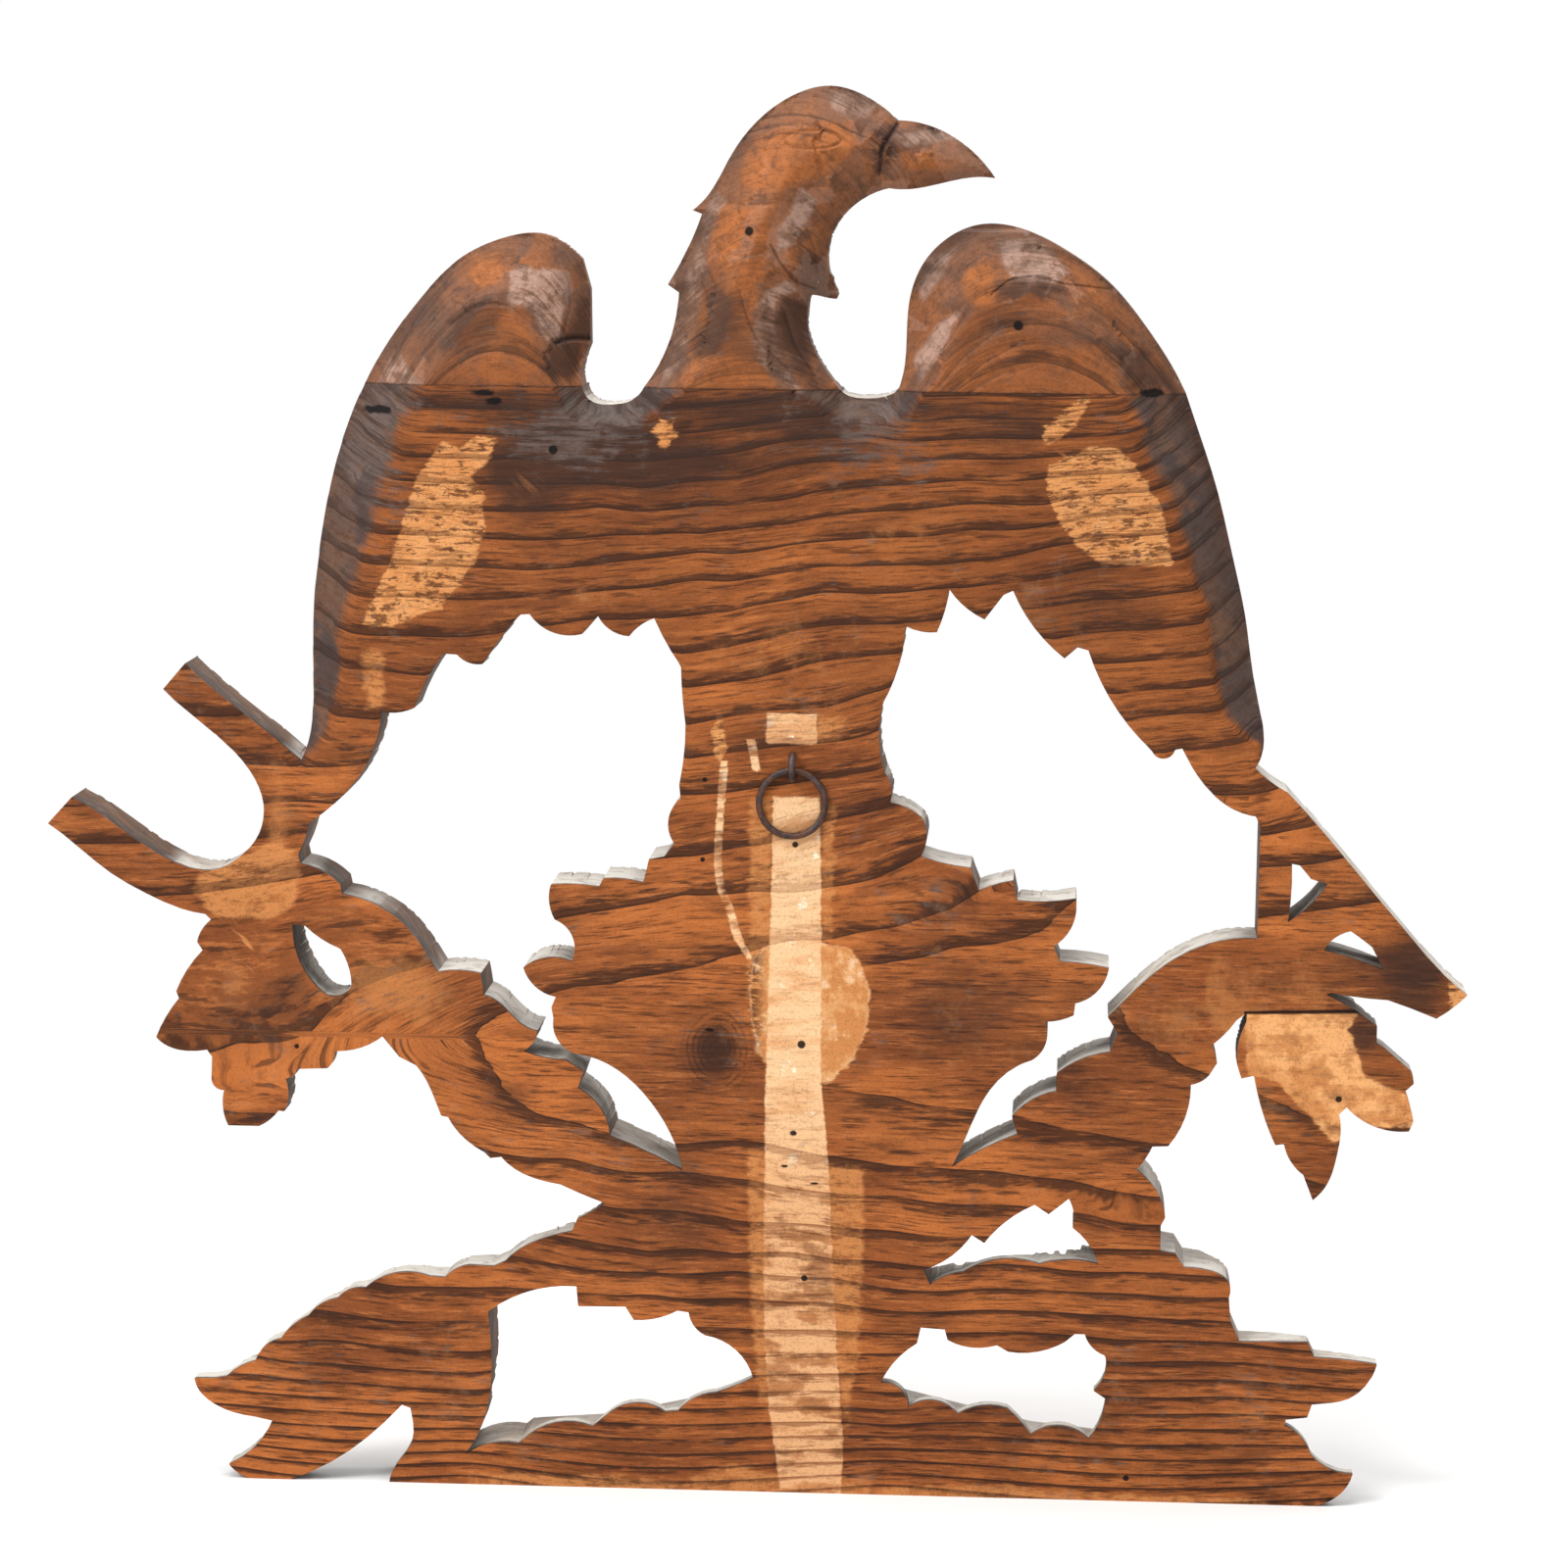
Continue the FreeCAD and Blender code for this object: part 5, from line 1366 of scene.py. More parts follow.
def carved_piece(node, knife, carving, back_step, front_step, rows):
    """The dressed mesh of one wooden piece."""
    loops = knife.outlines[node]
    rims = np.concatenate(loops)
    rim_tree = tree_of(rims)
    back, back_faces = triangulated(
        loops, np.concatenate([beside_lines(knife.grooves), patch_points()]), back_step,
    )
    front, front_faces = triangulated(
        loops, np.concatenate([crease_points(node, 0.0013), knife.front_points()]), front_step,
    )
    back_depth = knife.depth(back, carving.facet_share)
    depth = carved_depth(node, knife, front, front_faces, rim_tree)
    glued = np.concatenate([joint_points(node, loop) for loop in loops])
    rim_back = knife.depth(rims, carving.facet_share)
    rim_back = np.where(glued, np.maximum(rim_back, GLUED_EDGE), rim_back)
    _, numbers = nearest(tree_of(front), rims)
    rim_front = np.maximum(depth[numbers], rim_back + LEAST_WALL)
    back_depth = meet_rim(back_depth, back, rim_tree, rim_back)
    depth = meet_rim(depth, front, rim_tree, rim_front)
    hollow = (smoothed(depth, front_faces, 14) - depth) * 1000

    start = len(back) + len(front)
    walls, wall_faces = sawn_walls(loops, rim_back, rim_front, rows, start)
    coordinates = np.concatenate([
        np.stack([back[:, 0], BACK - back_depth, back[:, 1]], 1),
        np.stack([front[:, 0], BACK - depth, front[:, 1]], 1),
        *walls,
    ])
    faces = [tuple(f) for f in back_faces] + [tuple(f) for f in front_faces[:, ::-1] + len(back)]
    mesh = bpy.data.meshes.new(node + "_wood")
    mesh.from_pydata([tuple(c) for c in coordinates], [], faces + wall_faces)
    hollows = np.zeros(len(coordinates))
    hollows[len(back):start] = hollow
    put_values(mesh, "hollow", hollows)
    joined = bmesh.new()
    joined.from_mesh(mesh)
    bmesh.ops.remove_doubles(joined, verts=joined.verts, dist=2e-6)
    bmesh.ops.recalc_face_normals(joined, faces=joined.faces)
    joined.to_mesh(mesh)
    joined.free()
    mesh.shade_smooth()
    mesh.set_sharp_from_angle(angle=math.radians(30))
    add_values(mesh, node, knife)
    mesh.materials.append(material_named("old_pine", wood_material))
    piece = bpy.data.objects.new(node + "_wood", mesh)
    bpy.context.scene.collection.objects.link(piece)
    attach(piece, "eagle")
    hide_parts(node)


# Materials

class NodeGraph:
    """Short names for building a material's nodes."""

    def __init__(self, material):
        material.use_nodes = True
        self.tree = material.node_tree
        self.tree.nodes.clear()

    def node(self, kind, inputs=None, **settings):
        """A node with its settings, and its inputs linked or set."""
        made = self.tree.nodes.new("ShaderNode" + kind)
        for name, value in settings.items():
            setattr(made, name, value)
        for name, value in (inputs or {}).items():
            self.feed(made.inputs[name], value)
        return made

    def feed(self, socket, value):
        """Link a socket to another, or set its value."""
        if isinstance(value, bpy.types.NodeSocket):
            self.tree.links.new(value, socket)
        else:
            socket.default_value = value

    def math(self, operation, *values):
        """A Math node's result."""
        made = self.tree.nodes.new("ShaderNodeMath")
        made.operation = operation
        for socket, value in zip(made.inputs, values):
            self.feed(socket, value)
        return made.outputs[0]

    def add(self, *values):
        """The sum of several values."""
        total = values[0]
        for value in values[1:]:
            total = self.math("ADD", total, value)
        return total

    def times(self, *values):
        """The product of several values."""
        total = values[0]
        for value in values[1:]:
            total = self.math("MULTIPLY", total, value)
        return total

    def centred(self, value, scale):
        """Noise moved to a mean of zero and scaled."""
        return self.math("MULTIPLY_ADD", value, scale, -scale / 2)

    def mix(self, share, first, second):
        """Two colours mixed."""
        made = self.tree.nodes.new("ShaderNodeMix")
        made.data_type = "RGBA"
        self.feed(made.inputs[0], share)
        self.feed(made.inputs[6], first)
        self.feed(made.inputs[7], second)
        return made.outputs[2]

    def ramp(self, value, low, high, start=0.0, end=1.0, smooth=True):
        """A value carried from one range to another and held at the ends."""
        made = self.tree.nodes.new("ShaderNodeMapRange")
        made.interpolation_type = "SMOOTHSTEP" if smooth else "LINEAR"
        for socket, amount in zip(made.inputs, (value, low, high, start, end)):
            self.feed(socket, amount)
        return made.outputs[0]

    def noise(self, place, scale, detail=3.0, rough=0.55):
        """Noise with a mean near a half."""
        return self.node(
            "TexNoise", {"Vector": place, "Scale": scale, "Detail": detail, "Roughness": rough},
        ).outputs[0]

    def value_of(self, name):
        """A value stored on the vertices."""
        return self.node("Attribute", attribute_name=name).outputs["Fac"]

    def stretched(self, place, scale):
        """Coordinates scaled along each axis."""
        return self.node("Mapping", {"Vector": place, "Scale": scale}).outputs[0]


def material_named(name, make):
    """A material made once and then shared."""
    return bpy.data.materials.get(name) or make(name)


# Fixed tones of the wood
BEVEL_BROWN = hue(108, 80, 63)
BEVEL_GREY = hue(72, 65, 64)
# Grey-brown of the rounded edges, partly patina and partly painted shade
CREST_EDGE_PATINA_AND_SHADE = hue(84, 66, 57)
CREST_UMBER = hue(84, 58, 44)
CARVED_LATE = hue(46, 32, 27)
# A darker tone within the painted facet highlight
FACET_DUST_AND_SHEEN = hue(142, 110, 92)
DARK_STAIN = hue(52, 36, 30)
SMEAR_GREY = hue(104, 90, 84)
SMEAR_DARK = hue(64, 50, 45)
GROOVE_DARK = hue(48, 34, 30)
GLUE_PALE = hue(252, 214, 176)
STRIP_PALE = hue(255, 236, 206)
LEAF_PALE = hue(246, 182, 120)
# Painted shade inside the nail holes, which the mesh does not cut, and the dark of the leaf's crack
HOLE_SHADE_AND_CRACK = hue(16, 11, 10)
# Painted shade inside the torn slots, which the mesh does not cut
SLOT_SHADE = hue(12, 9, 9)
GLUE_LINE = hue(34, 23, 19)
FRONT_LATE = hue(44, 30, 25)
FRONT_HOLLOW = hue(38, 26, 21)
FRONT_HIGH = hue(178, 116, 70)
WALL_BROWN = hue(112, 78, 54)
WALL_UMBER = hue(82, 60, 46)
# A duller tone of the painted top light on the upward walls
WALL_DUST_AND_TOP_LIGHT = hue(158, 132, 108)
WALL_MOTTLE = hue(112, 96, 86)
WALL_EDGE = hue(44, 35, 31)


def shared_noises(g):
    """The place, the fibres and the noises that the wood's colours share."""
    g.place = g.node("TexCoord").outputs["Object"]
    g.x, y, g.z = g.node("SeparateXYZ", {"Vector": g.place}).outputs
    g.fibre = g.value_of("fibre")
    g.upper = g.value_of("upper")
    g.carved_depth = g.value_of("carved")
    g.along = g.node("CombineXYZ", {"X": g.x, "Y": g.math("MULTIPLY", y, 0.5), "Z": g.fibre}).outputs[0]

    g.waver = g.noise(g.stretched(g.along, (11, 11, 80)), 1.0, 3.0)
    g.strand = g.noise(g.stretched(g.along, (75, 75, 640)), 1.0, 3.0, 0.65)
    g.block = g.noise(g.stretched(g.along, (24, 24, 190)), 1.0, 3.0, 0.6)
    g.streak = g.noise(g.stretched(g.along, (46, 46, 560)), 1.0, 4.0, 0.7)
    g.dash = g.noise(g.stretched(g.along, (62, 62, 900)), 1.0, 2.0, 0.6)
    g.cloud = g.noise(g.stretched(g.place, (7, 7, 13)), 1.0, 4.0, 0.6)
    g.patch = g.noise(g.stretched(g.along, (30, 30, 120)), 1.0, 3.0, 0.6)
    g.torn = g.noise(g.stretched(g.along, (150, 150, 460)), 1.0, 3.0, 0.7)
    g.weather = g.noise(g.stretched(g.place, (16, 16, 16)), 1.0, 4.0, 0.62)
    g.mottle = g.noise(g.place, 120.0, 4.0, 0.65)
    g.speck = g.noise(g.place, 800.0, 2.0, 0.6)


def late_lines(g):
    """How far each point is latewood: crisp lines that fray outward, and close ones under the joint."""
    ring = g.value_of("ring")
    g.pitch = g.value_of("pitch")
    part = g.math("FRACT", g.add(ring, g.centred(g.waver, 0.24)))
    g.past = g.times(part, g.pitch)
    wide = g.math("MINIMUM", g.math("MAXIMUM", g.times(g.pitch, 0.46), 0.0022), 0.0105)
    reach = g.add(
        0.92, g.times(g.math("DIVIDE", g.past, wide), -1.0), g.centred(g.strand, 2.2),
        g.centred(g.block, 1.5),
    )
    fray = g.times(g.ramp(reach, 0.16, 0.62), g.ramp(g.past, 0.0, 0.0004))
    line = g.times(g.ramp(g.past, 0.0, 0.0003), g.ramp(g.past, 0.0017, 0.0007), g.ramp(g.block, 0.34, 0.46))
    g.late = g.math("MAXIMUM", g.times(fray, 0.82), line)
    kept = g.math("MAXIMUM", g.ramp(ring, 0.42, 0.62), g.ramp(g.x, across(0.560), across(0.585)))
    g.late = g.times(g.late, kept, g.value_of("lines"))
    close = g.math("FRACT", g.math("MULTIPLY_ADD", g.fibre, 370.0, g.centred(g.waver, 5.0)))
    close = g.times(
        g.ramp(close, 0.0, 0.12), g.ramp(close, 0.42, 0.18), g.ramp(g.block, 0.36, 0.5), g.value_of("fine"),
        0.75,
    )
    g.late = g.math("MAXIMUM", g.late, close)


def plank_colour(g, tone):
    """The flat back: earlywood, brushed streaks and the latewood lines."""
    base = g.mix(g.ramp(g.cloud, 0.36, 0.62), tone.early_dark, tone.early_light)
    base = g.mix(g.ramp(g.math("DIVIDE", g.past, g.pitch), 0.75, 0.05, 0.0, 0.34), base, tone.stain)
    base = g.mix(g.ramp(g.streak, 0.47, 0.36, 0.0, 0.42), base, tone.pale_streak)
    base = g.mix(g.ramp(g.patch, 0.50, 0.68, 0.0, 0.45), base, tone.stain)
    fibres = g.math("MULTIPLY_ADD", g.upper, -0.5, 1.0)
    base = g.mix(g.times(g.ramp(g.streak, 0.52, 0.66, 0.0, 0.66), fibres), base, tone.stain)
    base = g.mix(g.times(g.ramp(g.dash, 0.55, 0.66, 0.0, 0.66), fibres), base, tone.late)
    wings = g.ramp(g.add(g.z, g.centred(g.cloud, 0.16)), 0.50 * HEIGHT, 0.60 * HEIGHT, 0.0, 0.36)
    wings = g.times(wings, g.ramp(g.value_of("darker"), -0.4, 0.0))
    base = g.mix(wings, base, tone.stain)
    return g.mix(g.times(g.late, 0.92), base, tone.late)


def with_knot(g, tone, wood):
    """The knot, the dark stains, the scratches and the rubbed places."""
    knot_place = (-across(KNOT[0]), 0.0, -KNOT[1] * HEIGHT)
    knot = g.node("VectorMath", {0: g.place, 1: knot_place}, operation="ADD").outputs[0]
    knot = g.node("VectorMath", {0: knot, 1: (1.0, 0.0, 0.8)}, operation="MULTIPLY").outputs[0]
    knot = g.add(
        g.node("VectorMath", {0: knot}, operation="LENGTH").outputs["Value"], g.centred(g.mottle, 0.004),
    )
    arcs = g.times(
        g.ramp(g.math("SINE", g.times(knot, 2400.0)), 0.1, 0.9), g.ramp(knot, 0.019, 0.012),
        g.ramp(g.block, 0.3, 0.5),
    )
    wood = g.mix(g.times(arcs, 0.55), wood, tone.late)
    wood = g.mix(g.ramp(knot, 0.014, 0.005, 0.0, 0.8), wood, tone.late)
    darker = g.add(g.value_of("darker"), g.centred(g.block, 0.5), g.centred(g.mottle, 0.5))
    wood = g.mix(g.ramp(darker, 0.15, 1.0, 0.0, 0.85), wood, DARK_STAIN)
    turned = g.node("Mapping", {"Vector": g.place, "Rotation": (0.0, 0.75, 0.0)}).outputs[0]
    turned = g.noise(g.stretched(turned, (60, 60, 620)), 1.0, 2.0)
    scratch = g.times(g.ramp(turned, 0.54, 0.62), g.ramp(g.value_of("scratch"), 0.2, 0.8))
    wood = g.mix(g.times(scratch, 0.7), wood, tone.worn)

    rubbed = g.ramp(
        g.add(g.value_of("rubbed"), g.centred(g.mottle, 1.3), g.centred(g.weather, 1.6)), 0.15, 0.85, 0.0,
        0.42,
    )
    return g.mix(rubbed, wood, tone.worn)


def with_patches(g, tone, wood):
    """The worn, glued, clean and bare patches of the back."""
    g.edge_noise = g.centred(g.noise(g.stretched(g.along, (70, 70, 300)), 1.0, 4.0, 0.65), 1.0)
    worn = g.ramp(g.add(g.value_of("worn"), g.times(g.edge_noise, 9.0)), -1.5, 1.5, 0.0, 0.75)
    worn = g.times(worn, g.ramp(g.torn, 0.36, 0.56, 0.25, 1.0))
    wood = g.mix(worn, wood, g.mix(g.times(g.late, 0.7), tone.worn, tone.stain))
    g.glue = g.ramp(g.add(g.value_of("glue"), g.times(g.edge_noise, 8.0)), -0.8, 0.8)
    rough_left = g.ramp(g.x, across(0.513), across(0.500), 0.0, 1.0)
    glue_wood = g.mix(g.ramp(g.mottle, 0.42, 0.58, 0.0, 0.8), tone.worn, tone.glue)
    glue_wood = g.mix(g.times(rough_left, g.ramp(g.torn, 0.40, 0.52)), glue_wood, tone.stain)
    glue_wood = g.mix(
        g.ramp(g.add(g.mottle, g.centred(g.patch, 0.6)), 0.56, 0.66, 0.0, 0.55), glue_wood, GLUE_PALE,
    )
    rim = g.ramp(g.math("ABSOLUTE", g.math("SUBTRACT", g.value_of("glue"), 0.6)), 0.9, 0.2, 0.0, 0.22)
    glue_wood = g.mix(rim, glue_wood, tone.strip)
    wood = g.mix(g.times(g.glue, 0.86), wood, glue_wood)
    strip = g.ramp(g.add(g.value_of("strip"), g.times(g.edge_noise, 2.6)), -0.5, 0.5)
    low = g.ramp(g.z, 0.30 * HEIGHT, 0.20 * HEIGHT)
    gaps = g.times(
        low, g.ramp(g.add(g.patch, g.centred(g.mottle, 0.6), g.centred(g.weather, 0.5)), 0.44, 0.58),
    )
    strip_share = g.times(
        strip, g.ramp(g.torn, 0.30, 0.46, 0.60, 0.97), g.math("MULTIPLY_ADD", gaps, -0.62, 1.0),
    )
    strip_wood = g.mix(g.times(low, 0.45), tone.strip, tone.worn)
    strip_wood = g.mix(g.ramp(g.patch, 0.46, 0.66, 0.0, 0.6), strip_wood, tone.worn)
    strip_wood = g.mix(g.times(g.late, g.math("MULTIPLY_ADD", low, 0.35, 0.45)), strip_wood, tone.early_dark)
    strip_wood = g.mix(
        g.times(g.ramp(g.streak, 0.53, 0.68), g.math("MULTIPLY_ADD", low, 0.4, 0.3)), strip_wood,
        tone.early_dark,
    )
    strip_wood = g.mix(
        g.times(g.ramp(g.mottle, 0.62, 0.70), g.math("SUBTRACT", 1.0, low)), strip_wood, STRIP_PALE,
    )
    wood = g.mix(strip_share, wood, strip_wood)
    g.bare = g.ramp(g.add(g.value_of("bare"), g.times(g.edge_noise, 7.0)), -0.7, 0.7)
    bare_wood = g.mix(g.ramp(g.mottle, 0.38, 0.60), tone.worn, tone.bare)
    bare_wood = g.mix(g.ramp(g.torn, 0.49, 0.38, 0.0, 0.85), bare_wood, tone.stain)
    bare_wood = g.mix(g.ramp(g.dash, 0.56, 0.64, 0.0, 0.6), bare_wood, tone.stain)
    bare_wood = g.mix(g.times(g.late, 0.65), bare_wood, tone.stain)
    return g.mix(g.bare, wood, bare_wood)


def with_patina(g, tone, wood):
    """The weathered patina of the carved places, facet by facet, with painted highlights on pale facets and
    painted shade on dark facets and towards the rounded edges.
    """
    facet = g.value_of("facet")
    weathered = g.add(g.centred(g.weather, 1.5), g.centred(facet, 0.7), 0.5)
    patina = g.mix(g.ramp(weathered, 0.1, 1.0, 0.0, 0.7), tone.patina_brown, tone.patina_grey)
    bevel = g.mix(g.ramp(weathered, 0.0, 0.7), BEVEL_BROWN, BEVEL_GREY)
    patina = g.mix(g.math("SUBTRACT", 1.0, g.upper), patina, bevel)
    warm = g.ramp(
        g.add(
            g.value_of("warm"), g.centred(g.weather, 16.0), g.centred(g.mottle, 8.0),
            g.centred(g.streak, 6.0),
        ),
        -1.6, 2.0, 0.0, 0.72,
    )
    patina = g.mix(warm, patina, tone.warm_facet)
    # Painted highlight: the listed pale facets take a pinkish sheen where they catch the light
    pale = g.ramp(
        g.add(
            g.value_of("pale"), g.centred(g.weather, 9.0), g.centred(g.mottle, 5.0),
            g.centred(g.streak, 5.0),
        ),
        -1.0, 1.2, 0.0, 0.72,
    )
    highlight_tone = g.mix(
        g.ramp(g.add(g.mottle, g.centred(g.streak, 1.0), g.centred(g.weather, 0.8)), 0.40, 0.62),
        tone.pale_facet_highlight, FACET_DUST_AND_SHEEN,
    )
    patina = g.mix(pale, patina, highlight_tone)
    # Painted shade: the carving turns grey-brown towards its rounded edges, partly patina and partly shade
    # laid into the colour
    edge = g.times(g.ramp(g.value_of("depth"), 0.006, 0.018), g.ramp(g.weather, 0.35, 0.6, 0.35, 0.75))
    patina = g.mix(edge, patina, CREST_EDGE_PATINA_AND_SHADE)
    # Painted shade with old dirt: the listed dark facets
    dim = g.add(
        g.value_of("dim"), g.centred(g.weather, 10.0), g.centred(g.streak, 12.0), g.centred(g.mottle, 4.0),
    )
    patina = g.mix(g.ramp(dim, -3.0, 4.0, 0.0, 0.86), patina, tone.patina_dark_and_shade)
    patina = g.mix(
        g.times(g.ramp(g.streak, 0.50, 0.68, 0.0, 0.5), g.math("MULTIPLY_ADD", g.upper, -0.55, 1.0)), patina,
        tone.stain,
    )
    fleck = g.noise(g.place, 260.0, 3.0, 0.6)
    patina = g.mix(g.ramp(fleck, 0.50, 0.64, 0.0, 0.30), patina, tone.patina_dark_and_shade)
    patina = g.mix(g.ramp(g.weather, 0.52, 0.70, 0.0, 0.55), patina, CREST_UMBER)
    patina = g.mix(g.ramp(g.mottle, 0.48, 0.66, 0.0, 0.34), patina, tone.patina_dark_and_shade)
    patina = g.mix(g.times(g.ramp(g.dash, 0.53, 0.66, 0.0, 0.22), g.upper), patina, tone.patina_dark_and_shade)
    # Painted light facet by facet: some facets darkened as painted shade, some paled as painted highlight
    patina = g.mix(g.ramp(facet, 0.70, 0.95, 0.0, 0.22), patina, tone.patina_dark_and_shade)
    patina = g.mix(g.times(g.ramp(facet, 0.30, 0.05, 0.0, 0.20), g.upper), patina, tone.pale_facet_highlight)
    broken = g.math("MAXIMUM", g.ramp(g.weather, 0.42, 0.56), g.math("SUBTRACT", 1.0, g.upper))
    broken = g.math("MAXIMUM", broken, g.ramp(g.z, 0.955 * HEIGHT, 0.97 * HEIGHT, 0.0, 0.8))
    patina = g.mix(g.times(g.late, broken, 0.68), patina, CARVED_LATE)
    g.carved = g.ramp(g.add(g.carved_depth, g.centred(g.weather, 0.9), g.times(g.upper, 0.55)), 0.20, 0.95)
    return g.mix(g.times(g.carved, 0.93), wood, patina)


def with_smears(g, tone, wood):
    """The grey smears, the grooves darker with their depth, and the pale leaf."""
    smear = g.ramp(
        g.add(
            g.value_of("smear"), g.centred(g.weather, 1.8), g.centred(g.mottle, 2.2),
            g.centred(g.strand, 2.0),
        ),
        0.25, 1.05,
    )
    smear_tone = g.mix(g.ramp(g.streak, 0.42, 0.60), SMEAR_GREY, SMEAR_DARK)
    wood = g.mix(g.times(smear, 0.72), wood, smear_tone)
    wood = g.mix(g.ramp(g.value_of("groove"), 0.25, 1.2, 0.0, 0.75), wood, GROOVE_DARK)
    leaf = g.ramp(g.add(g.value_of("leaf"), g.times(g.edge_noise, 5.0)), -0.6, 0.6)
    leaf = g.times(leaf, g.ramp(g.add(g.mottle, g.centred(g.block, 0.8)), 0.62, 0.44, 0.35, 1.0))
    wood = g.mix(
        g.times(leaf, 0.75), wood,
        g.mix(
            g.ramp(g.add(g.weather, g.centred(g.mottle, 0.4)), 0.44, 0.62, 0.0, 0.85), LEAF_PALE,
            tone.worn,
        ),
    )
    return g.mix(g.ramp(g.speck, 0.5, 0.66, 0.0, 0.22), wood, tone.late)


def with_holes(g, wood):
    """Nail holes and torn slots painted dark as the shade inside them, the glued joint and the crack of the
    leaf.
    """
    for across_, up, size in NAIL_HOLES:
        spot = (across(across_ / 1000), BACK, up / 1000 * HEIGHT)
        far = g.node("VectorMath", {0: g.place, 1: spot}, operation="DISTANCE").outputs["Value"]
        wood = g.mix(g.ramp(far, size * 0.00075, size * 0.0011, 0.96, 0.0), wood, HOLE_SHADE_AND_CRACK)
    for across_, up, half, tall in SLOTS:
        spot = (-across(across_ / 1000), 0.0, -up / 1000 * HEIGHT)
        moved = g.node("VectorMath", {0: g.place, 1: spot}, operation="ADD").outputs[0]
        flat = g.node(
            "VectorMath", {0: moved, 1: (1000 / half, 0.0, 1000 / tall)}, operation="MULTIPLY",
        ).outputs[0]
        far = g.node("VectorMath", {0: flat}, operation="LENGTH").outputs["Value"]
        far = g.add(far, g.centred(g.torn, 1.4))
        wood = g.mix(g.ramp(far, 0.55, 1.0, 0.97, 0.0), wood, SLOT_SHADE)
    g.glue_line = g.math("ABSOLUTE", g.math("SUBTRACT", g.z, JOINT * HEIGHT))
    wood = g.mix(
        g.times(g.ramp(g.glue_line, 0.0002, 0.0006, 0.6, 0.0), g.ramp(g.block, 0.35, 0.55, 0.4, 1.0)), wood,
        GLUE_LINE,
    )
    leaf_left, leaf_right = (across(end) for end in BREAK_CRACKED)
    low, high = (leaf_break(end) * HEIGHT for end in BREAK_CRACKED)
    slope = (high - low) / (leaf_right - leaf_left)
    leaf_height = g.math("MULTIPLY_ADD", g.math("SUBTRACT", g.x, leaf_left), slope, low)
    leaf_line = g.math("ABSOLUTE", g.math("SUBTRACT", g.z, leaf_height))
    in_leaf = g.times(
        g.math("GREATER_THAN", g.x, leaf_right - 0.001), g.math("LESS_THAN", g.x, leaf_left + 0.001),
    )
    crack = g.ramp(leaf_line, 0.0004, g.ramp(g.x, leaf_left, leaf_right, 0.0009, 0.0017, False), 0.95, 0.0)
    return g.mix(g.times(crack, in_leaf), wood, HOLE_SHADE_AND_CRACK)


def with_front(g, tone, wood):
    """The carved front, dark in its hollows and worn on its high places."""
    g.normal = g.node("SeparateXYZ", {"Vector": g.node("NewGeometry").outputs["True Normal"]}).outputs
    facing = g.ramp(g.normal[1], -0.45, -0.25, 1.0, 0.0)
    g.upright = g.times(g.ramp(g.normal[1], -0.45, -0.30), g.ramp(g.normal[1], 0.45, 0.30))
    g.depth = g.value_of("depth")
    hollow = g.value_of("hollow")
    front = g.mix(
        g.ramp(g.add(g.times(g.depth, 18.0), g.centred(g.weather, 1.2), g.centred(g.patch, 0.8)), 0.45, 1.1),
        tone.front_dark, tone.front_worn,
    )
    front = g.mix(g.ramp(g.streak, 0.50, 0.66, 0.0, 0.5), front, tone.stain)
    front = g.mix(g.times(g.late, 0.6), front, FRONT_LATE)
    front = g.mix(g.ramp(g.add(hollow, g.centred(g.mottle, 1.4)), 0.15, 1.1, 0.0, 0.85), front, FRONT_HOLLOW)
    front = g.mix(
        g.ramp(g.add(hollow, g.centred(g.mottle, 1.2)), -0.25, -1.2, 0.0, 0.55), front, FRONT_HIGH,
    )
    return g.mix(facing, wood, front)


def with_walls(g, tone, wood):
    """The sawn walls, pale where they face upward: a dusted coat and painted top light."""
    # Painted top light: walls turned upward are made pale by their normal, partly a dusted coat and partly
    # light from above painted into the colour
    dust_and_top_light = g.add(g.normal[2], g.centred(g.weather, 1.1), g.times(g.value_of("dull"), -0.9))
    dust_and_top_light = g.ramp(dust_and_top_light, 0.22, 0.80)
    wall = g.mix(
        g.ramp(g.depth, 0.008, 0.018, 0.0, 0.75), tone.wall_dark,
        g.mix(g.ramp(g.patch, 0.40, 0.62), WALL_BROWN, WALL_UMBER),
    )
    dusty_and_lit = g.mix(
        g.ramp(g.add(g.weather, g.centred(g.patch, 0.8)), 0.46, 0.70, 0.0, 0.55), tone.wall_dust_and_top_light,
        WALL_DUST_AND_TOP_LIGHT,
    )
    wall = g.mix(g.times(dust_and_top_light, g.ramp(g.depth, 0.040, 0.022, 0.70, 0.94)), wall, dusty_and_lit)
    wall = g.mix(g.ramp(g.mottle, 0.52, 0.66, 0.0, 0.45), wall, WALL_MOTTLE)
    wall = g.mix(
        g.ramp(g.add(g.depth, g.centred(g.mottle, 0.003)), 0.0046, 0.0020, 0.0, 0.92), wall, WALL_EDGE,
    )
    deep_wall = g.times(
        g.upright, g.ramp(g.depth, 0.0006, 0.0014), g.math("SUBTRACT", 1.0, g.upper),
        g.ramp(g.glue_line, 0.0004, 0.0012),
    )
    return g.mix(deep_wall, wood, wall)


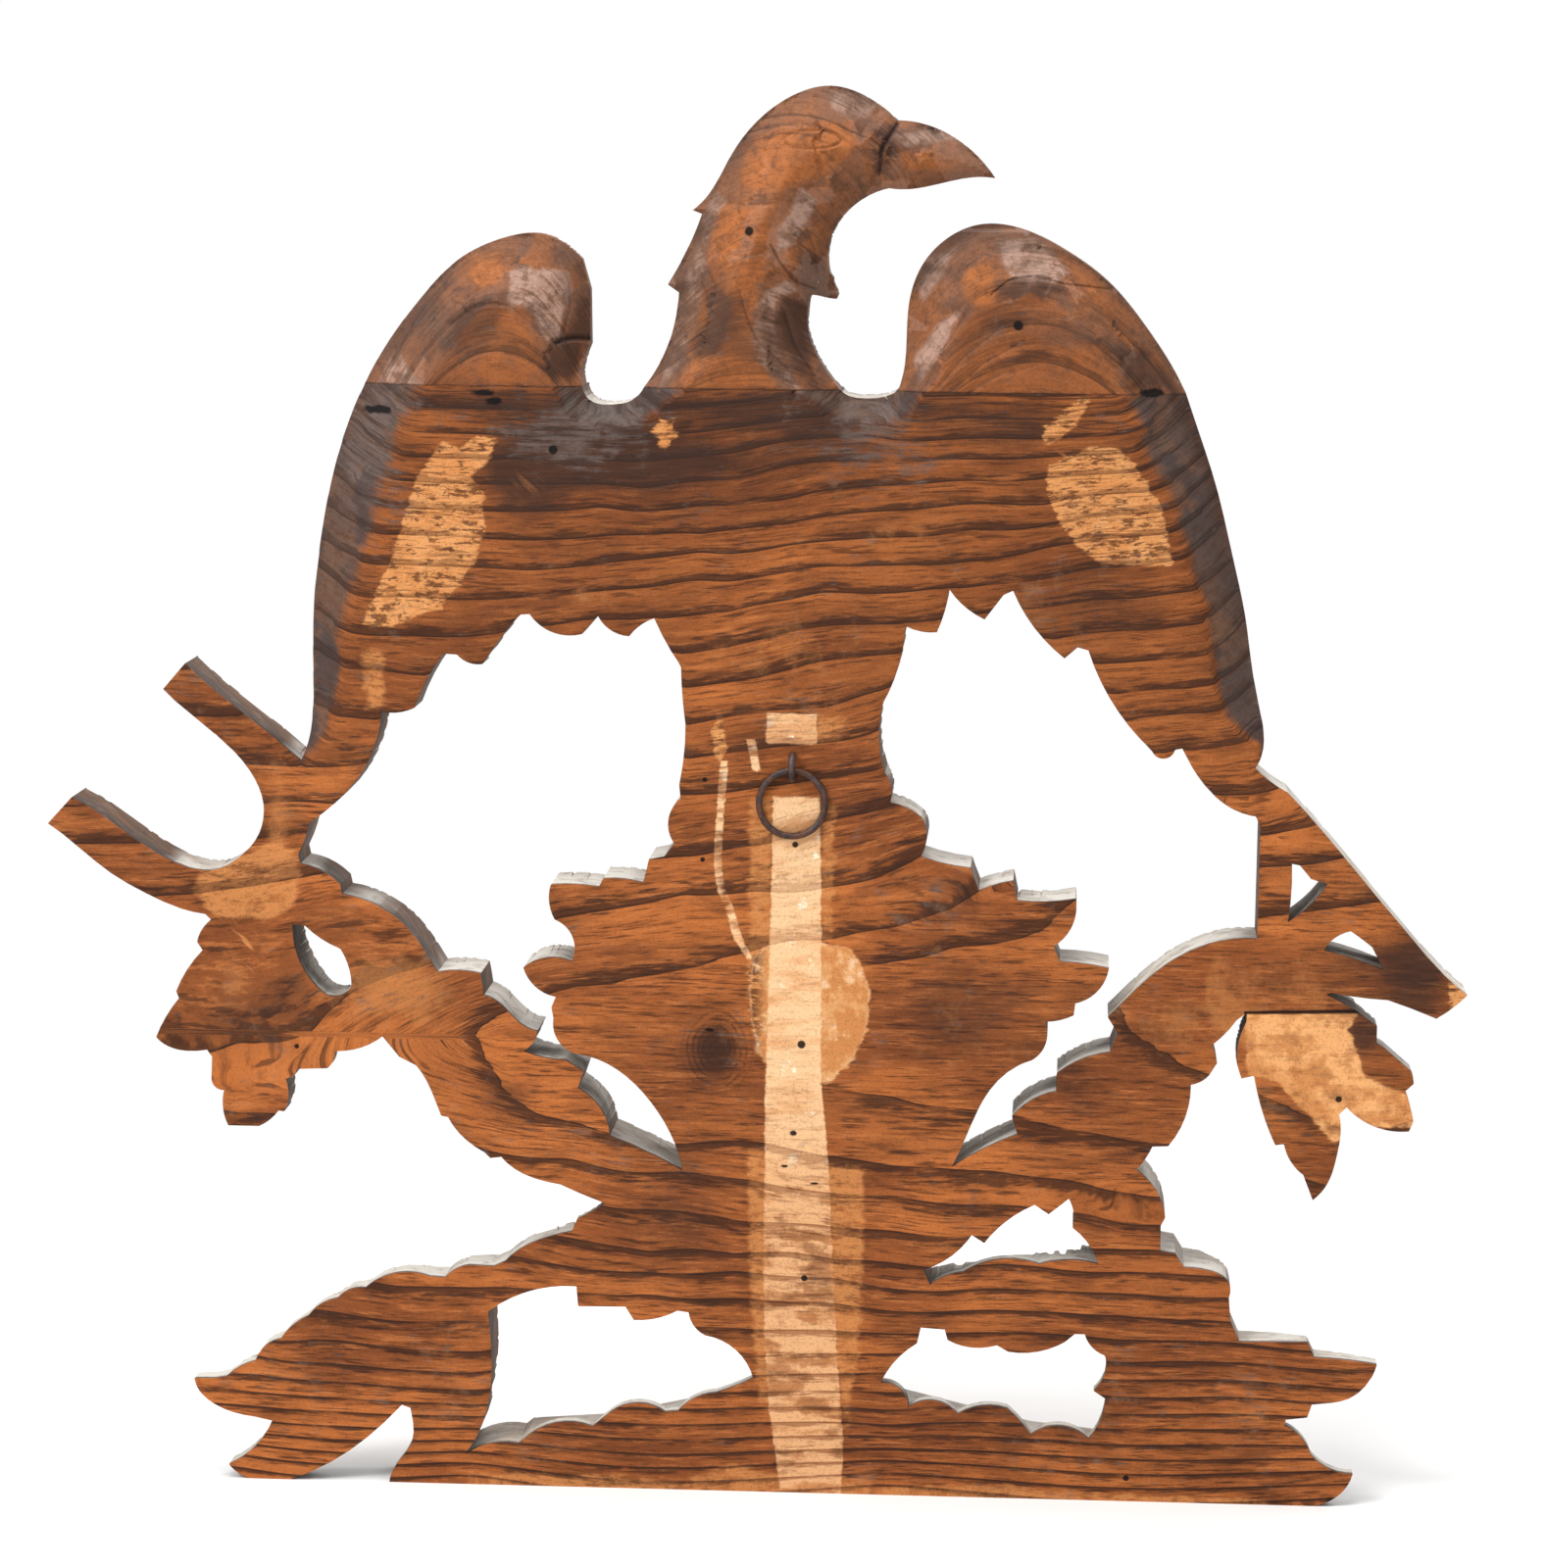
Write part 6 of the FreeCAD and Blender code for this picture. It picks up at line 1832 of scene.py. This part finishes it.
def wood_material(name):
    """Old softwood: the flat back's grain and patches, weathered carving with painted highlights and painted
    shade, a dark front, walls pale on top from a dusted coat and painted top light, and nail holes painted
    dark as their shade.
    """
    material = bpy.data.materials.new(name)
    tone = bpy.context.scene.eagle_grain
    g = NodeGraph(material)
    shared_noises(g)
    late_lines(g)
    wood = plank_colour(g, tone)
    wood = with_knot(g, tone, wood)
    wood = with_patches(g, tone, wood)
    wood = with_patina(g, tone, wood)
    wood = with_smears(g, tone, wood)
    wood = with_holes(g, wood)
    wood = with_front(g, tone, wood)
    wood = with_walls(g, tone, wood)
    height = g.add(
        g.times(g.late, 0.5), g.times(g.streak, 0.45), g.times(g.dash, 0.25), g.times(g.strand, 0.25),
    )
    height = g.math("SUBTRACT", height, g.times(g.bare, g.ramp(g.torn, 0.3, 0.6, 1.6, 0.2)))
    height = g.add(
        height, g.times(g.glue, g.mottle, 0.8), g.times(g.weather, 0.3), g.times(g.mottle, g.carved, 0.5),
    )
    bump = g.node("Bump", {"Strength": 0.6, "Height": height})
    bump.inputs["Distance"].default_value = tone.relief
    shader = g.node(
        "BsdfPrincipled",
        {"Base Color": wood, "Roughness": g.ramp(g.streak, 0.3, 0.7, 0.55, 0.76), "Normal": bump.outputs[0]},
    )
    shader.inputs["Specular IOR Level"].default_value = 0.12
    g.node("OutputMaterial", {"Surface": shader.outputs[0]})
    return material


def iron_material(name):
    """Dull hand-drawn iron wire with brown rust."""
    material = bpy.data.materials.new(name)
    tone = bpy.context.scene.eagle_iron
    g = NodeGraph(material)
    place = g.node("TexCoord").outputs["Object"]
    rust = g.noise(place, 420.0, 5.0, 0.65)
    broad = g.noise(place, 90.0, 3.0)
    colour = g.mix(g.ramp(rust, 0.4, 0.62), tone.dark, tone.rust)
    colour = g.mix(g.ramp(broad, 0.5, 0.7, 0.0, 0.6), colour, tone.bright)
    bump = g.node("Bump", {"Strength": 0.6, "Distance": 0.0004, "Height": g.add(rust, g.times(broad, 0.8))})
    shader = g.node(
        "BsdfPrincipled",
        {"Base Color": colour, "Roughness": g.ramp(rust, 0.3, 0.7, 0.42, 0.68), "Normal": bump.outputs[0]},
    )
    shader.inputs["Metallic"].default_value = 0.55
    g.node("OutputMaterial", {"Surface": shader.outputs[0]})
    return material


def dowel_material(name):
    """Plain turned dowel wood."""
    material = bpy.data.materials.new(name)
    g = NodeGraph(material)
    place = g.node("TexCoord").outputs["Object"]
    grain = g.noise(g.stretched(place, (900, 900, 40)), 1.0, 3.0)
    shader = g.node("BsdfPrincipled", {"Base Color": g.mix(grain, hue(196, 156, 104), hue(160, 116, 70))})
    shader.inputs["Roughness"].default_value = 0.6
    g.node("OutputMaterial", {"Surface": shader.outputs[0]})
    return material


def floor_material(name):
    """A pale floor that runs into the white background away from the object."""
    material = bpy.data.materials.new(name)
    g = NodeGraph(material)
    place = g.node("TexCoord").outputs["Object"]
    far = g.node("VectorMath", {0: place}, operation="LENGTH").outputs["Value"]
    shader = g.node("BsdfPrincipled")
    shader.inputs["Base Color"].default_value = bpy.context.scene.eagle_stage.floor
    shader.inputs["Roughness"].default_value = 0.9
    white = g.node("Emission")
    white.inputs["Color"].default_value = (1, 1, 1, 1)
    seen = g.node("LightPath").outputs["Is Camera Ray"]
    share = g.times(g.ramp(far, 0.35, 0.95), seen)
    both = g.node("MixShader", {0: share, 1: shader.outputs[0], 2: white.outputs[0]})
    g.node("OutputMaterial", {"Surface": both.outputs[0]})
    return material


def dress(node, material):
    """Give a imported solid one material."""
    data = NODES[node].data
    data.materials.clear()
    data.materials.append(material)


# Stage

FLOOR_REACH = 6.0
# Lamps, each named as the setting that holds its power: place, target and size
LAMPS = (
    ("key", (1.5, 1.6, 2.0), (0, 0, 0.33), 1.0), ("top", (0.15, 0.25, 2.1), (0, 0, 0.3), 1.2),
    ("far_side", (-1.1, -1.7, 1.5), (0, 0, 0.33), 0.9),
)
# The photograph's camera: yaw, pitch and roll in degrees, place, and lens in millimetres
CAMERA_ANGLES = (3.3101, 7.3372, 0.6347)
CAMERA_PLACE = (-0.14331, 2.36064, 0.63251)
CAMERA_LENS = 121.143


def area_light(name, place, target, size, power):
    """A soft square lamp."""
    light = bpy.data.lights.new(name, "AREA")
    light.size = size
    light.energy = power
    lamp = bpy.data.objects.new(name, light)
    lamp.location = place
    lamp.rotation_euler = (Vector(target) - Vector(place)).to_track_quat("-Z", "Y").to_euler()
    bpy.context.scene.collection.objects.link(lamp)


def even_sky(scene, strength):
    """Even light from all around, and plain white behind the object."""
    world = bpy.data.worlds.new("studio")
    scene.world = world
    world.use_nodes = True
    tree = world.node_tree
    tree.nodes.clear()
    sky = tree.nodes.new("ShaderNodeBackground")
    sky.inputs["Color"].default_value = (1, 1, 1, 1)
    path = tree.nodes.new("ShaderNodeLightPath")
    level = tree.nodes.new("ShaderNodeMath")
    level.operation = "MULTIPLY_ADD"
    level.inputs[1].default_value = 1 - strength
    level.inputs[2].default_value = strength
    output = tree.nodes.new("ShaderNodeOutputWorld")
    seen = path.outputs["Is Camera Ray"]
    for ray in ("Is Glossy Ray", "Is Transmission Ray"):
        either = tree.nodes.new("ShaderNodeMath")
        either.operation = "MAXIMUM"
        tree.links.new(seen, either.inputs[0])
        tree.links.new(path.outputs[ray], either.inputs[1])
        seen = either.outputs[0]
    tree.links.new(seen, level.inputs[0])
    tree.links.new(level.outputs[0], sky.inputs["Strength"])
    tree.links.new(sky.outputs[0], output.inputs["Surface"])


def place_camera(scene):
    """The camera where the photograph was taken from."""
    yaw, pitch, roll = (math.radians(angle) for angle in CAMERA_ANGLES)
    ahead = Vector((math.sin(yaw) * math.cos(pitch), -math.cos(yaw) * math.cos(pitch), -math.sin(pitch)))
    right = ahead.cross(Vector((0, 0, 1))).normalized()
    up = right.cross(ahead)
    right, up = right * math.cos(roll) + up * math.sin(roll), up * math.cos(roll) - right * math.sin(roll)
    camera = bpy.data.cameras.new("camera")
    camera.sensor_fit = "HORIZONTAL"
    camera.sensor_width = 36.0
    camera.lens = CAMERA_LENS
    camera.clip_start = 0.05
    camera.clip_end = 60
    viewer = bpy.data.objects.new("camera", camera)
    turn = Matrix((right, up, -ahead)).transposed().to_4x4()
    viewer.matrix_world = Matrix.Translation(CAMERA_PLACE) @ turn
    scene.collection.objects.link(viewer)
    scene.camera = viewer


_KNIFE = {}


def knife_edges():
    """The outlines and facets, read once."""
    if not _KNIFE:
        _KNIFE["edges"] = KnifeEdges(bpy.context.scene.eagle_carving)
    return _KNIFE["edges"]


# Operators

class EAGLE_OT_board(bpy.types.Operator):
    """Carve the main board: wings, body, tail, branches and base"""

    bl_idname = "eagle.board"
    bl_label = "Main board"

    def execute(self, context):
        carving = context.scene.eagle_carving
        carved_piece("main_board", knife_edges(), carving, carving.back_step, carving.front_step, 4)
        return {"FINISHED"}


class EAGLE_OT_glued_pieces(bpy.types.Operator):
    """Carve the two wing tops and the head, which are glued on"""

    bl_idname = "eagle.glued_pieces"
    bl_label = "Wing tops and head"

    def execute(self, context):
        carving = context.scene.eagle_carving
        for node in UPPER_PIECES:
            carved_piece(node, knife_edges(), carving, carving.top_step, carving.top_step, 7)
        return {"FINISHED"}


class EAGLE_OT_leaf(bpy.types.Operator):
    """Carve the leaf that broke off and was glued back"""

    bl_idname = "eagle.leaf"
    bl_label = "Leaf"

    def execute(self, context):
        carving = context.scene.eagle_carving
        carved_piece("leaf_cluster", knife_edges(), carving, carving.top_step, carving.top_step, 5)
        return {"FINISHED"}


class EAGLE_OT_dowels(bpy.types.Operator):
    """Give the hidden dowels their wood"""

    bl_idname = "eagle.dowels"
    bl_label = "Dowels"

    def execute(self, context):
        for node in NODES:
            if node.startswith("dowel"):
                dress(node, material_named("dowel_wood", dowel_material))
        return {"FINISHED"}


class EAGLE_OT_iron(bpy.types.Operator):
    """Give the staple and the ring their rusty iron"""

    bl_idname = "eagle.iron"
    bl_label = "Staple and ring"

    def execute(self, context):
        for node in ("ring_staple", "hanging_ring"):
            dress(node, material_named("rusty_iron", iron_material))
        return {"FINISHED"}


class EAGLE_OT_stage(bpy.types.Operator):
    """Set up the floor, the light and the camera"""

    bl_idname = "eagle.stage"
    bl_label = "Stage"

    def execute(self, context):
        scene = context.scene
        levels = scene.eagle_stage
        mesh = bpy.data.meshes.new("floor")
        corners = [(x * FLOOR_REACH, y * FLOOR_REACH, 0) for x, y in ((-1, -1), (1, -1), (1, 1), (-1, 1))]
        mesh.from_pydata(corners, [], [(0, 1, 2, 3)])
        floor = bpy.data.objects.new("floor", mesh)
        mesh.materials.append(material_named("pale_floor", floor_material))
        scene.collection.objects.link(floor)
        even_sky(scene, levels.sky)
        for name, place, target, size in LAMPS:
            area_light(name, place, target, size, getattr(levels, name))
        place_camera(scene)
        scene.view_settings.view_transform = "Standard"
        return {"FINISHED"}


STEPS = (
    EAGLE_OT_board, EAGLE_OT_glued_pieces, EAGLE_OT_leaf, EAGLE_OT_dowels, EAGLE_OT_iron, EAGLE_OT_stage,
)
SETTINGS = {
    "eagle_grain": EAGLE_PG_grain,
    "eagle_carving": EAGLE_PG_carving,
    "eagle_iron": EAGLE_PG_iron,
    "eagle_stage": EAGLE_PG_stage,
}


class EAGLE_PT_panel(bpy.types.Panel):
    """The eagle's pieces in order"""

    bl_idname = "EAGLE_PT_panel"
    bl_label = "Carved eagle"
    bl_space_type = "VIEW_3D"
    bl_region_type = "UI"
    bl_category = "Eagle"

    def draw(self, context):
        for step in STEPS:
            self.layout.operator(step.bl_idname)
        for name, group in SETTINGS.items():
            box = self.layout.box()
            for key in group.__annotations__:
                box.prop(getattr(context.scene, name), key)


CLASSES = (*SETTINGS.values(), *STEPS, EAGLE_PT_panel)


def register():
    """Add the classes and the scene's settings."""
    for item in CLASSES:
        bpy.utils.register_class(item)
    for name, group in SETTINGS.items():
        setattr(bpy.types.Scene, name, PointerProperty(type=group))


def unregister():
    """Take the settings and the classes away again."""
    for name in SETTINGS:
        delattr(bpy.types.Scene, name)
    for item in reversed(CLASSES):
        bpy.utils.unregister_class(item)


def main():
    """Build every piece in order."""
    register()
    bpy.ops.eagle.board()
    bpy.ops.eagle.glued_pieces()
    bpy.ops.eagle.leaf()
    bpy.ops.eagle.dowels()
    bpy.ops.eagle.iron()
    bpy.ops.eagle.stage()


if __name__ == "__main__":
    main()
